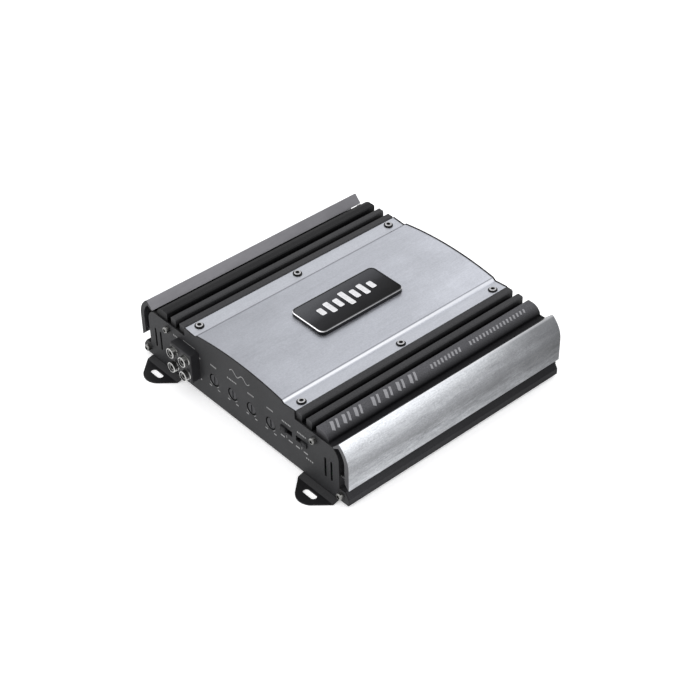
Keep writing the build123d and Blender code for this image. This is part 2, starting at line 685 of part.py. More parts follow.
# ---- Badge ----
def make_badge():
    """Thin-rimmed bezel, black plate inside it, and raised level-meter bars."""
    outline = RectangleRounded(BADGE_WIDTH, BADGE_LENGTH, BADGE_CORNER)
    bottom = height(COVER_CROWN_H - 2)
    bezel = extrude(Pos(0, 0, bottom) * outline, amount=height(BADGE_TOP_H) - bottom)
    bezel = chamfer(bezel.faces().sort_by(Axis.Z)[-1].edges(), BADGE_RIM_CHAMFER)
    inner_width = BADGE_WIDTH - 2 * BADGE_RIM
    inner_length = BADGE_LENGTH - 2 * BADGE_RIM
    pocket_floor = height(BADGE_TOP_H - BADGE_POCKET_DEPTH)
    pocket = RectangleRounded(inner_width, inner_length, BADGE_CORNER - BADGE_RIM)
    bezel = bezel - extrude(Pos(0, 0, pocket_floor) * pocket, amount=3)
    edge_x, edge_h = COVER_EDGE
    floor = Polyline((-edge_x, edge_h), (-edge_x, DECK_TOP_H), (edge_x, DECK_TOP_H), (edge_x, edge_h))
    below_cover = make_face(cover_top_lines() + [floor])
    bezel = bezel - extrude_section(below_cover, -BADGE_LENGTH, BADGE_LENGTH)
    gap = BADGE_PLATE_GAP
    plate_outline = RectangleRounded(
        inner_width - 2 * gap, inner_length - 2 * gap, BADGE_CORNER - BADGE_RIM - gap)
    plate = extrude(Pos(0, 0, pocket_floor) * plate_outline, amount=BADGE_PLATE_THICKNESS)
    bars = []
    plate_top = pocket_floor + BADGE_PLATE_THICKNESS
    for bar, y in zip(BADGE_BAR_LENGTHS, spread(0.0, BADGE_BAR_PITCH, len(BADGE_BAR_LENGTHS))):
        shape = RectangleRounded(bar, BADGE_BAR_WIDTH, BADGE_BAR_CORNER)
        raised = extrude(Pos(BADGE_BAR_X, y, plate_top) * shape, amount=BADGE_BAR_RISE)
        bars.append(chamfer(raised.faces().sort_by(Axis.Z)[-1].edges(), BADGE_BAR_CHAMFER))
    return bezel, plate, bars


# ---- Phono jacks ----
def jack_places():
    return [(JACK_BLOCK_X + sx * JACK_PITCH_X / 2, JACK_BLOCK_H + sh * JACK_PITCH_H / 2)
            for sh in (1, -1) for sx in (-1, 1)]


def make_jack_parts():
    """The jack block, then a plated shell, an insulator and a sprung contact for each of its jacks."""
    half = JACK_BLOCK_SIZE / 2
    face_y = -PANEL_FACE_Y - JACK_BLOCK_REACH
    x_span = around(JACK_BLOCK_X, half)
    h_span = heights(*around(JACK_BLOCK_H, half))
    housing = block(x_span, (face_y, -JACK_BACK_Y), h_span)
    housing = chamfer(housing.faces().sort_by(Axis.Y)[0].edges(), 0.8)
    foot = block(x_span, (-HEATSINK_END_Y + 0.5, -JACK_BACK_Y), heights(BOARD_TOP_H, JACK_BLOCK_H))
    housing = housing + foot
    shells = []
    insulators = []
    contacts = []
    tip_y = -PANEL_FACE_Y - JACK_REACH
    seat_y = face_y + JACK_SHELL_DEPTH
    for x, h in jack_places():
        z = height(h)
        housing = housing - rod_y(x, z, (face_y - 1, seat_y), JACK_ROOT_RADIUS + FIT_GAP)
        shell = rod_y(x, z, (tip_y, face_y), JACK_SHELL_RADIUS)
        shell = chamfer(shell.faces().sort_by(Axis.Y)[0].edges(), 0.25)
        flare = Cone(JACK_SHELL_RADIUS, JACK_ROOT_RADIUS, JACK_SHELL_FLARE)
        shell = shell + Pos(x, face_y - JACK_SHELL_FLARE / 2, z) * Rot(-90, 0, 0) * flare
        shell = shell + rod_y(x, z, (face_y, seat_y), JACK_ROOT_RADIUS)
        shells.append(shell - rod_y(x, z, (tip_y - 1, seat_y + 1), JACK_SHELL_BORE))
        core = rod_y(x, z, (tip_y + 0.4, seat_y), JACK_SHELL_BORE - 0.05)
        contact_start = tip_y + 0.6
        contact_end = seat_y - 0.8
        pin_stop = contact_end - 0.6
        insulators.append(core - rod_y(x, z, (tip_y - 1, contact_end), JACK_SLEEVE_RADIUS + SCREW_GAP))
        sleeve = rod_y(x, z, (contact_start, contact_end), JACK_SLEEVE_RADIUS)
        sleeve = sleeve - rod_y(x, z, (tip_y - 1, pin_stop), JACK_PIN_BORE)
        relief = rod_y(x, z, (contact_start + JACK_PIN_GUIDE, pin_stop), JACK_PIN_RELIEF)
        contacts.append(sleeve - relief)
    return housing, shells, insulators, contacts


# ---- Rotary controls ----
def make_control_body(x):
    """A control body on the board, with the bore its shaft turns in."""
    half = CONTROL_BODY_HALF
    body = block(around(x, half), CONTROL_BODY_Y, heights(BOARD_TOP_H, CONTROL_H + half))
    body = fillet(body.edges().filter_by(Axis.Y).sort_by(Axis.Z)[-2:], 2.0)
    bore = (CONTROL_BODY_Y[0] - 1, CONTROL_BODY_Y[1] - 2)
    return body - rod_y(x, height(CONTROL_H), bore, KNOB_SHAFT_RADIUS + SCREW_GAP)


def make_knob(x):
    face_y = -PANEL_FACE_Y + 0.3
    z = height(CONTROL_H)
    knob = rod_y(x, z, (face_y, -97.0), KNOB_RADIUS)
    knob = fillet(knob.faces().sort_by(Axis.Y)[0].edges(), 0.5)
    knob = knob + rod_y(x, z, (-97.2, -89.0), KNOB_SHAFT_RADIUS)
    width, length, depth = KNOB_SLOT
    slot = block(around(x, width / 2), (face_y - 1, face_y + depth), around(z, length / 2))
    return knob - slot


# ---- Slide switches ----
def make_switch_housing(x):
    front_y = -HEATSINK_END_Y + 0.1
    half, rise = SWITCH_BODY_HALF
    housing = block(around(x, half), (front_y, -92.0), heights(*around(SWITCH_H, rise)))
    half, rise = SWITCH_WELL_HALF
    well = block(around(x, half), (front_y - 1, -94.6), heights(*around(SWITCH_H, rise)))
    leg = block(around(x, 6.0), (-96.5, -94.0), heights(BOARD_TOP_H, SWITCH_H - 4.0))
    return housing - well + leg


def make_slider(x, side):
    """A slider parked at one end of its window; side is -1 for the left end, 1 for the right."""
    centre = x + side * SLIDER_TRAVEL / 2
    half = SLIDER_WIDTH / 2
    face_y = -PANEL_FACE_Y - SLIDER_REACH
    h_span = heights(*around(SWITCH_H, SLIDER_HEIGHT / 2))
    knob = block(around(centre, half), (face_y, -95.0), h_span)
    knob = fillet(knob.faces().sort_by(Axis.Y)[0].edges(), 0.4)
    h_span = heights(*around(SWITCH_H, SLIDER_HEIGHT))
    for step in SLIDER_GROOVES:
        groove_x = (centre + step - 0.3, centre + step + 0.3)
        knob = knob - block(groove_x, (face_y - 1, face_y + 0.5), h_span)
    return knob


# ---- Circuit board and parts on it ----
def clamp_screw_places():
    return [y + 11.0 for y in TRANSISTOR_Y[:-1]]


def make_board():
    board = block((-BOARD_HALF_X, BOARD_HALF_X), (-BOARD_HALF_Y, BOARD_HALF_Y),
                  heights(BOARD_BOTTOM_H, BOARD_TOP_H))
    for x, y in STANDOFF_XY:
        board = board - rod_z(x, y, heights(9, 13), 1.7)
    return board


def make_standoffs():
    shapes = []
    for x, y in STANDOFF_XY:
        hexagon = Pos(x, y, height(BASE_PLATE_THICKNESS)) * RegularPolygon(3.2, 6)
        post = extrude(hexagon, amount=BOARD_BOTTOM_H - BASE_PLATE_THICKNESS)
        stub = rod_z(x, y, heights(0.1, BASE_PLATE_THICKNESS + 0.5), 1.4)
        shapes.append(post + stub - rod_z(x, y, heights(4, 11), 1.5 + SCREW_GAP))
    return shapes


def make_board_screws():
    screw = cap_screw(1.5, 5.5, 2.7, 1.6, 1.3)
    return [Pos(x, y, height(BOARD_TOP_H)) * screw for x, y in STANDOFF_XY]


def ring(x, y, h, inner, outer):
    shape = rod_z(x, y, heights(*h), outer)
    return shape - rod_z(x, y, (height(h[0]) - 1, height(h[1]) + 1), inner)


def make_toroid():
    """A ring core and the wire bundles wound round it."""
    x, y = TOROID_XY
    low, high = TOROID_H
    inner, outer = TOROID_CORE_RADII
    wire = TOROID_WIRE_THICKNESS
    gap = TOROID_GAP
    core = ring(x, y, (low + wire + gap, high - wire - gap), inner, outer)
    hollow = ring(x, y, (low + wire, high - wire), inner - gap, outer + gap)
    sleeve = ring(x, y, TOROID_H, inner - gap - wire, outer + gap + wire) - hollow
    spoke = block((5, 30), (-TOROID_BUNDLE_WIDTH / 2, TOROID_BUNDLE_WIDTH / 2), (0, 60))
    bundles = []
    for index in range(TOROID_BUNDLES):
        angle = 360 / TOROID_BUNDLES * index
        bundles.append(sleeve & (Pos(x, y, 0) * Rot(0, 0, angle) * spoke))
    return core, bundles


def make_capacitors():
    """Cans with a crimped neck and a scored cross in the top."""
    length, width, depth = CAPACITOR_SCORE
    neck_radius = CAPACITOR_RADIUS - CAPACITOR_NECK_DEPTH
    score_z = heights(CAPACITOR_TOP_H - depth, CAPACITOR_TOP_H + 1)
    shapes = []
    for x, y in CAPACITOR_XY:
        can = rod_z(x, y, heights(BOARD_TOP_H, CAPACITOR_TOP_H), CAPACITOR_RADIUS)
        can = fillet(can.edges().sort_by(Axis.Z)[-1], 1.2)
        neck = ring(x, y, CAPACITOR_NECK_H, neck_radius, CAPACITOR_RADIUS + 0.5)
        score = block(around(x, length / 2), around(y, width / 2), score_z)
        score = score + block(around(x, width / 2), around(y, length / 2), score_z)
        shapes.append(can - neck - score)
    return shapes


def make_choke():
    """A drum-wound choke: two flanges and the wire layers between them."""
    x, y = CHOKE_XY
    drum = rod_z(x, y, heights(BOARD_TOP_H, CHOKE_TOP_H), CHOKE_CORE_RADIUS)
    for h in (BOARD_TOP_H, CHOKE_TOP_H - CHOKE_FLANGE_THICKNESS):
        drum = drum + rod_z(x, y, heights(h, h + CHOKE_FLANGE_THICKNESS), CHOKE_FLANGE_RADIUS)
    first_turn = height(BOARD_TOP_H + CHOKE_FLANGE_THICKNESS + 0.2)
    for turn in range(CHOKE_TURNS):
        low = first_turn + CHOKE_TURN_PITCH * turn
        drum = drum + rod_z(x, y, (low, low + 1.3), CHOKE_WIRE_RADIUS)
    return drum - rod_z(x, y, heights(BOARD_TOP_H - 1, CHOKE_TOP_H + 1), CHOKE_BORE_RADIUS)


def wall_clamp_span():
    """The Y span that the thermal pad and the clamp bar share."""
    reach = TRANSISTOR_WIDTH / 2 + 1
    return (TRANSISTOR_Y[0] - reach, TRANSISTOR_Y[-1] + reach)


def wall_stack_x():
    """Where the pad, the transistors and the clamp bar meet, from the right wall inwards."""
    pad_outer = WALL_INNER_X - PAD_GAP
    pad_inner = pad_outer - PAD_THICKNESS
    body_inner = pad_inner - TRANSISTOR_DEPTH
    return pad_outer, pad_inner, body_inner, body_inner - CLAMP_THICKNESS


def make_transistors():
    """Power transistors standing against the right wall."""
    _, back_x, front_x, _ = wall_stack_x()
    low, high = TRANSISTOR_H
    half = TRANSISTOR_WIDTH / 2
    bodies = []
    for y in TRANSISTOR_Y:
        package = block((front_x, back_x), around(y, half), heights(low, high))
        for step in TRANSISTOR_LEGS:
            leg_y = (y + step - 0.6, y + step + 0.6)
            leg = block((front_x + 1.6, front_x + 2.3), leg_y, heights(BOARD_TOP_H, low + 0.5))
            package = package + leg
        bodies.append(package)
    return bodies


def make_wall_clamp():
    """The thermal pad behind the right transistors, the bar that presses them, and its screws."""
    pad_outer, pad_inner, body_inner, bar_inner = wall_stack_x()
    pad_z = heights(TRANSISTOR_H[0] - 1, TRANSISTOR_H[1] + 0.2)
    pad = block((pad_inner, pad_outer), wall_clamp_span(), pad_z)
    bar_z = heights(CLAMP_H - CLAMP_BELOW, CLAMP_H + CLAMP_ABOVE)
    bar = block((bar_inner, body_inner), wall_clamp_span(), bar_z)
    screw = Rot(0, -90, 0) * cap_screw(CLAMP_SCREW_RADIUS, 10.0, 2.6, 2.0, 1.3)
    hole = Rot(0, 90, 0) * Cylinder(CLAMP_SCREW_HOLE, 9, align=UPRIGHT)
    screws = []
    for y in clamp_screw_places():
        through = Pos(bar_inner - 1, y, height(CLAMP_H)) * hole
        bar = bar - through
        pad = pad - through
        screws.append(Pos(bar_inner, y, height(CLAMP_H)) * screw)
    return pad, bar, screws


def make_chips():
    """Long and short chips lying on the board."""
    places = [(x, y, LONG_CHIP) for x, y in LONG_CHIP_XY]
    places += [(x, y, SHORT_CHIP) for x, y in SHORT_CHIP_XY]
    z_span = heights(BOARD_TOP_H, BOARD_TOP_H + CHIP_HEIGHT)
    shapes = []
    for x, y, length in places:
        y_span = around(y, CHIP_WIDTH / 2)
        shapes.append(block(around(x, length / 2), y_span, z_span))
    return shapes


# ---- Terminals on the power panel ----
def make_terminal_housing(centre, half_width, pitch, count, top_h, cage):
    end_y = PANEL_FACE_Y + TERMINAL_REACH
    """A moulded strip with a chamber for each wire clamp and a well for each screw."""
    end_y = PANEL_FACE_Y + TERMINAL_REACH
    x_span = around(centre, half_width)
    housing = block(x_span, (TERMINAL_BACK_Y, end_y), heights(BOARD_TOP_H, top_h))
    housing = chamfer(housing.faces().sort_by(Axis.Y)[-1].edges(), TERMINAL_CHAMFER)
    reach = cage["half"] + FIT_GAP
    chamber_y = (terminal_cage_y()[0] - FIT_GAP, end_y + 1)
    chamber_z = heights(cage["low"] - FIT_GAP, cage["high"] + FIT_GAP)
    well_z = heights(cage["high"], top_h + 1)
    for x in spread(centre, pitch, count):
        chamber = block(around(x, reach), chamber_y, chamber_z)
        well = rod_z(x, terminal_screw_y(), well_z, cage["head"] + TERMINAL_WELL_GAP)
        housing = housing - chamber - well
    return housing


def terminal_cage_y():
    return (PANEL_FACE_Y - 1.0, PANEL_FACE_Y + TERMINAL_REACH - 1.5)


def terminal_screw_y():
    low, high = terminal_cage_y()
    return (low + high) / 2 + 0.4


def make_cages(centre, pitch, count, cage):
    """Metal wire clamps: square tubes whose thick roof holds the screw's thread."""
    low_y, high_y = terminal_cage_y()
    half = cage["half"]
    inner_half = half - cage["wall"]
    outer_z = heights(cage["low"], cage["high"])
    inner_z = heights(cage["low"] + cage["wall"], cage["high"] - cage["roof"])
    hole_z = heights(cage["high"] - 5, cage["high"] + 1)
    shapes = []
    for x in spread(centre, pitch, count):
        outer = block(around(x, half), (low_y, high_y), outer_z)
        inner = block(around(x, inner_half), (low_y - 1, high_y + 1), inner_z)
        hole = rod_z(x, terminal_screw_y(), hole_z, cage["screw"] + SCREW_GAP)
        shapes.append(outer - inner - hole)
    return shapes


def make_terminal_screw(x, top_h, cage):
    """A slotted screw in its well, its tip just through the clamp's roof."""
    y = terminal_screw_y()
    head_top = height(top_h - 0.8)
    head_bottom = height(cage["high"] + 0.3)
    tip = height(cage["high"] - cage["roof"] - 0.8)
    reach = cage["head"] + 1
    screw = rod_z(x, y, (head_bottom, head_top), cage["head"])
    screw = fillet(screw.faces().sort_by(Axis.Z)[-1].edges(), 0.4)
    screw = screw + rod_z(x, y, (tip, head_bottom + 0.5), cage["screw"])
    return screw - block(around(x, reach), around(y, 0.5), (head_top - 1.4, head_top + 1))


# ---- Fuses ----
def fuse_places():
    return [FUSE_HOLDER_X - FUSE_PITCH / 2, FUSE_HOLDER_X + FUSE_PITCH / 2]


def make_fuse_holder():
    """A socket with a pocket for each fuse body and slots for its blades."""
    front_y = PANEL_FACE_Y + FUSE_HOLDER_REACH
    x_span = around(FUSE_HOLDER_X, FUSE_HOLDER_HALF_X)
    h_span = heights(*FUSE_HOLDER_H)
    holder = block(x_span, (FUSE_HOLDER_BACK_Y, front_y), h_span)
    holder = chamfer(holder.faces().sort_by(Axis.Y)[-1].edges(), 0.6)
    pocket_half = FUSE_SIZE[0] / 2 + FUSE_GAP
    pocket_rise = FUSE_SIZE[2] / 2 + FUSE_GAP
    pocket_z = heights(*around(FUSE_H, pocket_rise))
    slot_width, slot_depth, slot_height = FUSE_SLOT
    for x in fuse_places():
        pocket = block(around(x, pocket_half), (FUSE_BACK_Y - FUSE_GAP, front_y + 1), pocket_z)
        holder = holder - pocket
        for h in blade_heights():
            slot_x = around(x, slot_width / 2)
            slot_z = heights(*around(h, slot_height / 2))
            holder = holder - block(slot_x, (FUSE_BACK_Y - slot_depth, front_y), slot_z)
    return holder


def blade_heights():
    return around(FUSE_H, FUSE_BLADE_OFFSET)


def make_fuse(x):
    """A blade fuse: a grip, a thinner body and two blades."""
    thick, deep, tall = FUSE_SIZE
    y_end = FUSE_BACK_Y + deep
    cap_x = around(x, thick / 2)
    cap = block(cap_x, (y_end - FUSE_CAP_DEPTH, y_end), heights(*around(FUSE_H, tall / 2)))
    cap = fillet(cap.edges().filter_by(Axis.X), 0.8)
    body_x = (cap_x[0] + 0.5, cap_x[1] - 0.5)
    body_z = heights(FUSE_H - tall / 2 + 0.4, FUSE_H + tall / 2 - 0.4)
    fuse = cap + block(body_x, (FUSE_BACK_Y, y_end - FUSE_CAP_DEPTH + 1.0), body_z)
    width, length, rise = FUSE_BLADE
    blade_y = (FUSE_BACK_Y - length + 1.0, FUSE_BACK_Y + 1.0)
    for h in blade_heights():
        fuse = fuse + block(around(x, width / 2), blade_y, heights(*around(h, rise / 2)))
    return fuse


def make_lights():
    shapes = []
    for x, h in LIGHT_XH:
        lamp = rod_y(x, height(h), LIGHT_Y, LIGHT_RADIUS)
        shapes.append(fillet(lamp.faces().sort_by(Axis.Y)[-1].edges(), 1.0))
    return shapes


# ---- Write every node ----
def main():
    write("heatsink", make_heatsink())
    write("top_cover", make_top_cover())
    write("cover_screws", make_cover_screws())
    write("cover_washers", make_cover_washers())
    trim = make_side_trim()
    write("side_trim_right", trim)
    write("side_trim_left", mirror_x(trim))
    write("control_panel", make_control_panel())
    write("power_panel", make_power_panel())
    write("panel_screws", make_panel_screws())
    write("base_plate", make_base_plate())
    write("base_plate_screws", make_base_screws())
    foot = make_foot()
    write("foot_front_right", foot)
    write("foot_front_left", mirror_x(foot))
    write("foot_rear_right", mirror_y(foot))
    write("foot_rear_left", mirror_x(mirror_y(foot)))
    write("foot_screws", make_feet_screws())
    bezel, plate, bars = make_badge()
    write("badge_bezel", bezel)
    write("badge_plate", plate)
    write("badge_emblem", bars)
    housing, shells, insulators, contacts = make_jack_parts()
    write("jack_housing", housing)
    write("jack_shells", shells)
    write("jack_insulators", insulators)
    write("jack_contacts", contacts)
    write("control_bodies", [make_control_body(x) for x in control_places()])
    for name, x in zip(CONTROL_NAMES, control_places()):
        write(name, make_knob(x))
    write("switch_housings", [make_switch_housing(x) for x in SWITCH_X])
    write("switch_slider_left", make_slider(SWITCH_X[0], -1))
    write("switch_slider_right", make_slider(SWITCH_X[1], 1))
    write("main_board", make_board())
    write("board_standoffs", make_standoffs())
    write("board_screws", make_board_screws())
    core, winding = make_toroid()
    write("toroid_core", core)
    write("toroid_winding", winding)
    write("rail_capacitors", make_capacitors())
    write("filter_choke", make_choke())
    bodies = make_transistors()
    pad, bar, screws = make_wall_clamp()
    write("transistors_right", bodies)
    write("transistors_left", [mirror_x(body) for body in bodies])
    write("thermal_pad_right", pad)
    write("thermal_pad_left", mirror_x(pad))
    write("clamp_bar_right", bar)
    write("clamp_bar_left", mirror_x(bar))
    write("clamp_screws", [shape for screw in screws for shape in both_sides(screw)])
    write("control_chips", make_chips())
    write("status_lights", make_lights())
    write("power_terminal_housing", make_terminal_housing(
        POWER_BLOCK_X, POWER_HALF_WIDTH, POWER_PITCH, POWER_COUNT, POWER_TOP_H, POWER_CAGE))
    write("speaker_terminal_housing", make_terminal_housing(
        SPEAKER_BLOCK_X, SPEAKER_HALF_WIDTH, SPEAKER_PITCH, SPEAKER_COUNT, SPEAKER_TOP_H, SPEAKER_CAGE))
    cages = make_cages(POWER_BLOCK_X, POWER_PITCH, POWER_COUNT, POWER_CAGE)
    cages += make_cages(SPEAKER_BLOCK_X, SPEAKER_PITCH, SPEAKER_COUNT, SPEAKER_CAGE)
    write("terminal_clamps", cages)
    for index, x in enumerate(spread(POWER_BLOCK_X, POWER_PITCH, POWER_COUNT)):
        write(f"power_screw_{index + 1}", make_terminal_screw(x, POWER_TOP_H, POWER_CAGE))
    for index, x in enumerate(spread(SPEAKER_BLOCK_X, SPEAKER_PITCH, SPEAKER_COUNT)):
        write(f"speaker_screw_{index + 1}", make_terminal_screw(x, SPEAKER_TOP_H, SPEAKER_CAGE))
    write("fuse_holder", make_fuse_holder())
    for name, x in zip(("fuse_left", "fuse_right"), fuse_places()):
        write(name, make_fuse(x))


main()
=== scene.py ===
import math
from fnmatch import fnmatchcase

import bmesh
import bpy
from mathutils import Matrix, Vector


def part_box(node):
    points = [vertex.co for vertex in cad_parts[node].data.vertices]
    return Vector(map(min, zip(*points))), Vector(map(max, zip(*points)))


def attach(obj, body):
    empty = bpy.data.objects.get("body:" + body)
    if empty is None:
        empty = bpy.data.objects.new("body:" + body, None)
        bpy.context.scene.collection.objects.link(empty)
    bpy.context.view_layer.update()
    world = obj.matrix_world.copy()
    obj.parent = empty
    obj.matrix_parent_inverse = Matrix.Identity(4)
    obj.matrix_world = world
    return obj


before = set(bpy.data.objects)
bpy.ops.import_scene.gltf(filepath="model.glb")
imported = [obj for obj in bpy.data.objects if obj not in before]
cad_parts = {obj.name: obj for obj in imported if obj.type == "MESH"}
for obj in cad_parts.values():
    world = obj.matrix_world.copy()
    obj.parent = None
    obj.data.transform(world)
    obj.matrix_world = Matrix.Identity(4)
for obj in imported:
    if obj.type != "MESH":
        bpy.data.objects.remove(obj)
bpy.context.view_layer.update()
MM = 0.001

# ---- Camera: the viewing angle in degrees, and a distance that gives its perspective ----
VIEW_AZIMUTH = 48.81
VIEW_ELEVATION = 39.19
VIEW_ROLL = -0.95
VIEW_DISTANCE = 1.2328
VIEW_TARGET = (0.0068, -0.0045, 0.0195)
LENS = 86.26
SENSOR_WIDTH = 36.0

# ---- Faces that the printed marks lie on, in metres ----
FRONT_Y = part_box("control_panel")[0].y
REAR_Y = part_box("power_panel")[1].y
CASE_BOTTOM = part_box("control_panel")[0].z

# Three points on the wide rib's rounded crest, in millimetres: across, and above the case bottom
RIB_CREST = ((88.0, 51.2), (92.4, 49.7), (95.4, 45.9))
RIB_FLAT_X = RIB_CREST[0][0] * MM
RIB_TOP_Z = CASE_BOTTOM + RIB_CREST[0][1] * MM

# ---- Where a finish and its painted light and shade start to change, and where they have changed, in millimetres ----
# X and Y are from the object's middle, and Z is from the floor. A list gives a tone for each place.
# A reach is how far a noise shifts those places, and a streak is the length of the brushing's streaks.
# The heatsink's painted shade by height: darkest on the groove floors, paler low on the rails and on the rib
# tops.
HEATSINK_SHADE_TONES = [(0.0, 0.7), (12.0, 1.0), (42.0, 0.5), (47.7, 0.10), (51.6, 0.55), (53.52, 1.0),
                  (60.0, 1.0)]
# Where the painted sheen and shade by rib, and the painted shade low on the rails, lie.
LEFT_RIB_X = (-78.5, -81.0)
WIDE_RIB_X = (79.5, 82.0)
WIDE_RIB_Z = (30.0, 46.0)
RAIL_SHADE_Z = (16.0, 13.0)
RAIL_SHADE_Y = (-90.0, 90.0)
# Where the painted sheen on the rib tops comes in.
RIB_SHEEN_Z = (48.5, 52.8)

# The cover's painted sheen runs from its front left corner to its rear right one.
COVER_SHEEN_TONES = [(-140.0, 0.88), (-78.4, 0.98), (-28.0, 1.07), (33.6, 1.11), (98.0, 1.26), (140.0, 1.38)]
COVER_CLOUD_REACH = 220.0
# Where the flanges' own painted sheen, the crease's painted shade, the right riser's painted highlight and
# the left riser's painted shade lie.
COVER_FLANGE_X = (49.4, 49.7)
CREASE_SHADE_X = ((46.3, 46.7), (47.0, 47.4))
RISER_HIGHLIGHT_X = ((47.3, 47.7), (48.6, 49.1))
RISER_SHADE_X = ((-50.0, -49.4), (-46.8, -46.2))
HIGHLIGHT_FADE_Y = (0.0, 90.0)
COVER_STREAK = 42.0

# The trim's painted light: how it falls with height and recedes towards the far end.
TRIM_LIGHT_FALL = [(12.0, 0.80), (21.46, 0.62), (31.78, 0.38), (39.52, 0.46), (46.4, 0.84), (51.56, 1.04),
             (55.0, 1.10)]
TRIM_LIGHT_RECEDE = [(-100.0, 1.06), (-38.5, 0.96), (27.1, 0.72), (105.0, 0.30)]
TRIM_STREAK_REACH = 16.0
TRIM_CLOUD_REACH = 100.0
# Where the trim's painted shade high at the far end and its painted highlight on the ridge lie.
TRIM_SHADE_Z = (34.0, 46.0)
TRIM_SHADE_Y = (20.0, 90.0)
TRIM_HIGHLIGHT_Z = (51.7, 52.6)
TRIM_CUT_X = (-10.0, 10.0)
TRIM_STREAK = 17.0

# The badge plate's painted reflection runs from pale at the left to black at the right.
BADGE_REFLECTION_TONES = [(-21.0, (0.080, 0.082, 0.088)), (-6.6, (0.044, 0.045, 0.050)), (3.0, (0.017, 0.017, 0.019)),
               (19.0, (0.003, 0.003, 0.0035))]
BADGE_SWEEP_REACH = 8.0

COVER_SCREW_X = 56.4
COVER_SCREW_Y = 92.4
# The cover screws' painted highlight ring: how high on the crown, and how far from each screw's middle.
SCREW_CROWN_Z = (53.55, 53.90)
SCREW_HIGHLIGHT_RADIUS = (1.5, 1.8)

FUSE_BODY_LENGTH = 12.0
FUSE_BODY_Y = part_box("fuse_left")[1].y / MM - FUSE_BODY_LENGTH
FUSE_BLADE_Y = (FUSE_BODY_Y, FUSE_BODY_Y - 0.1)


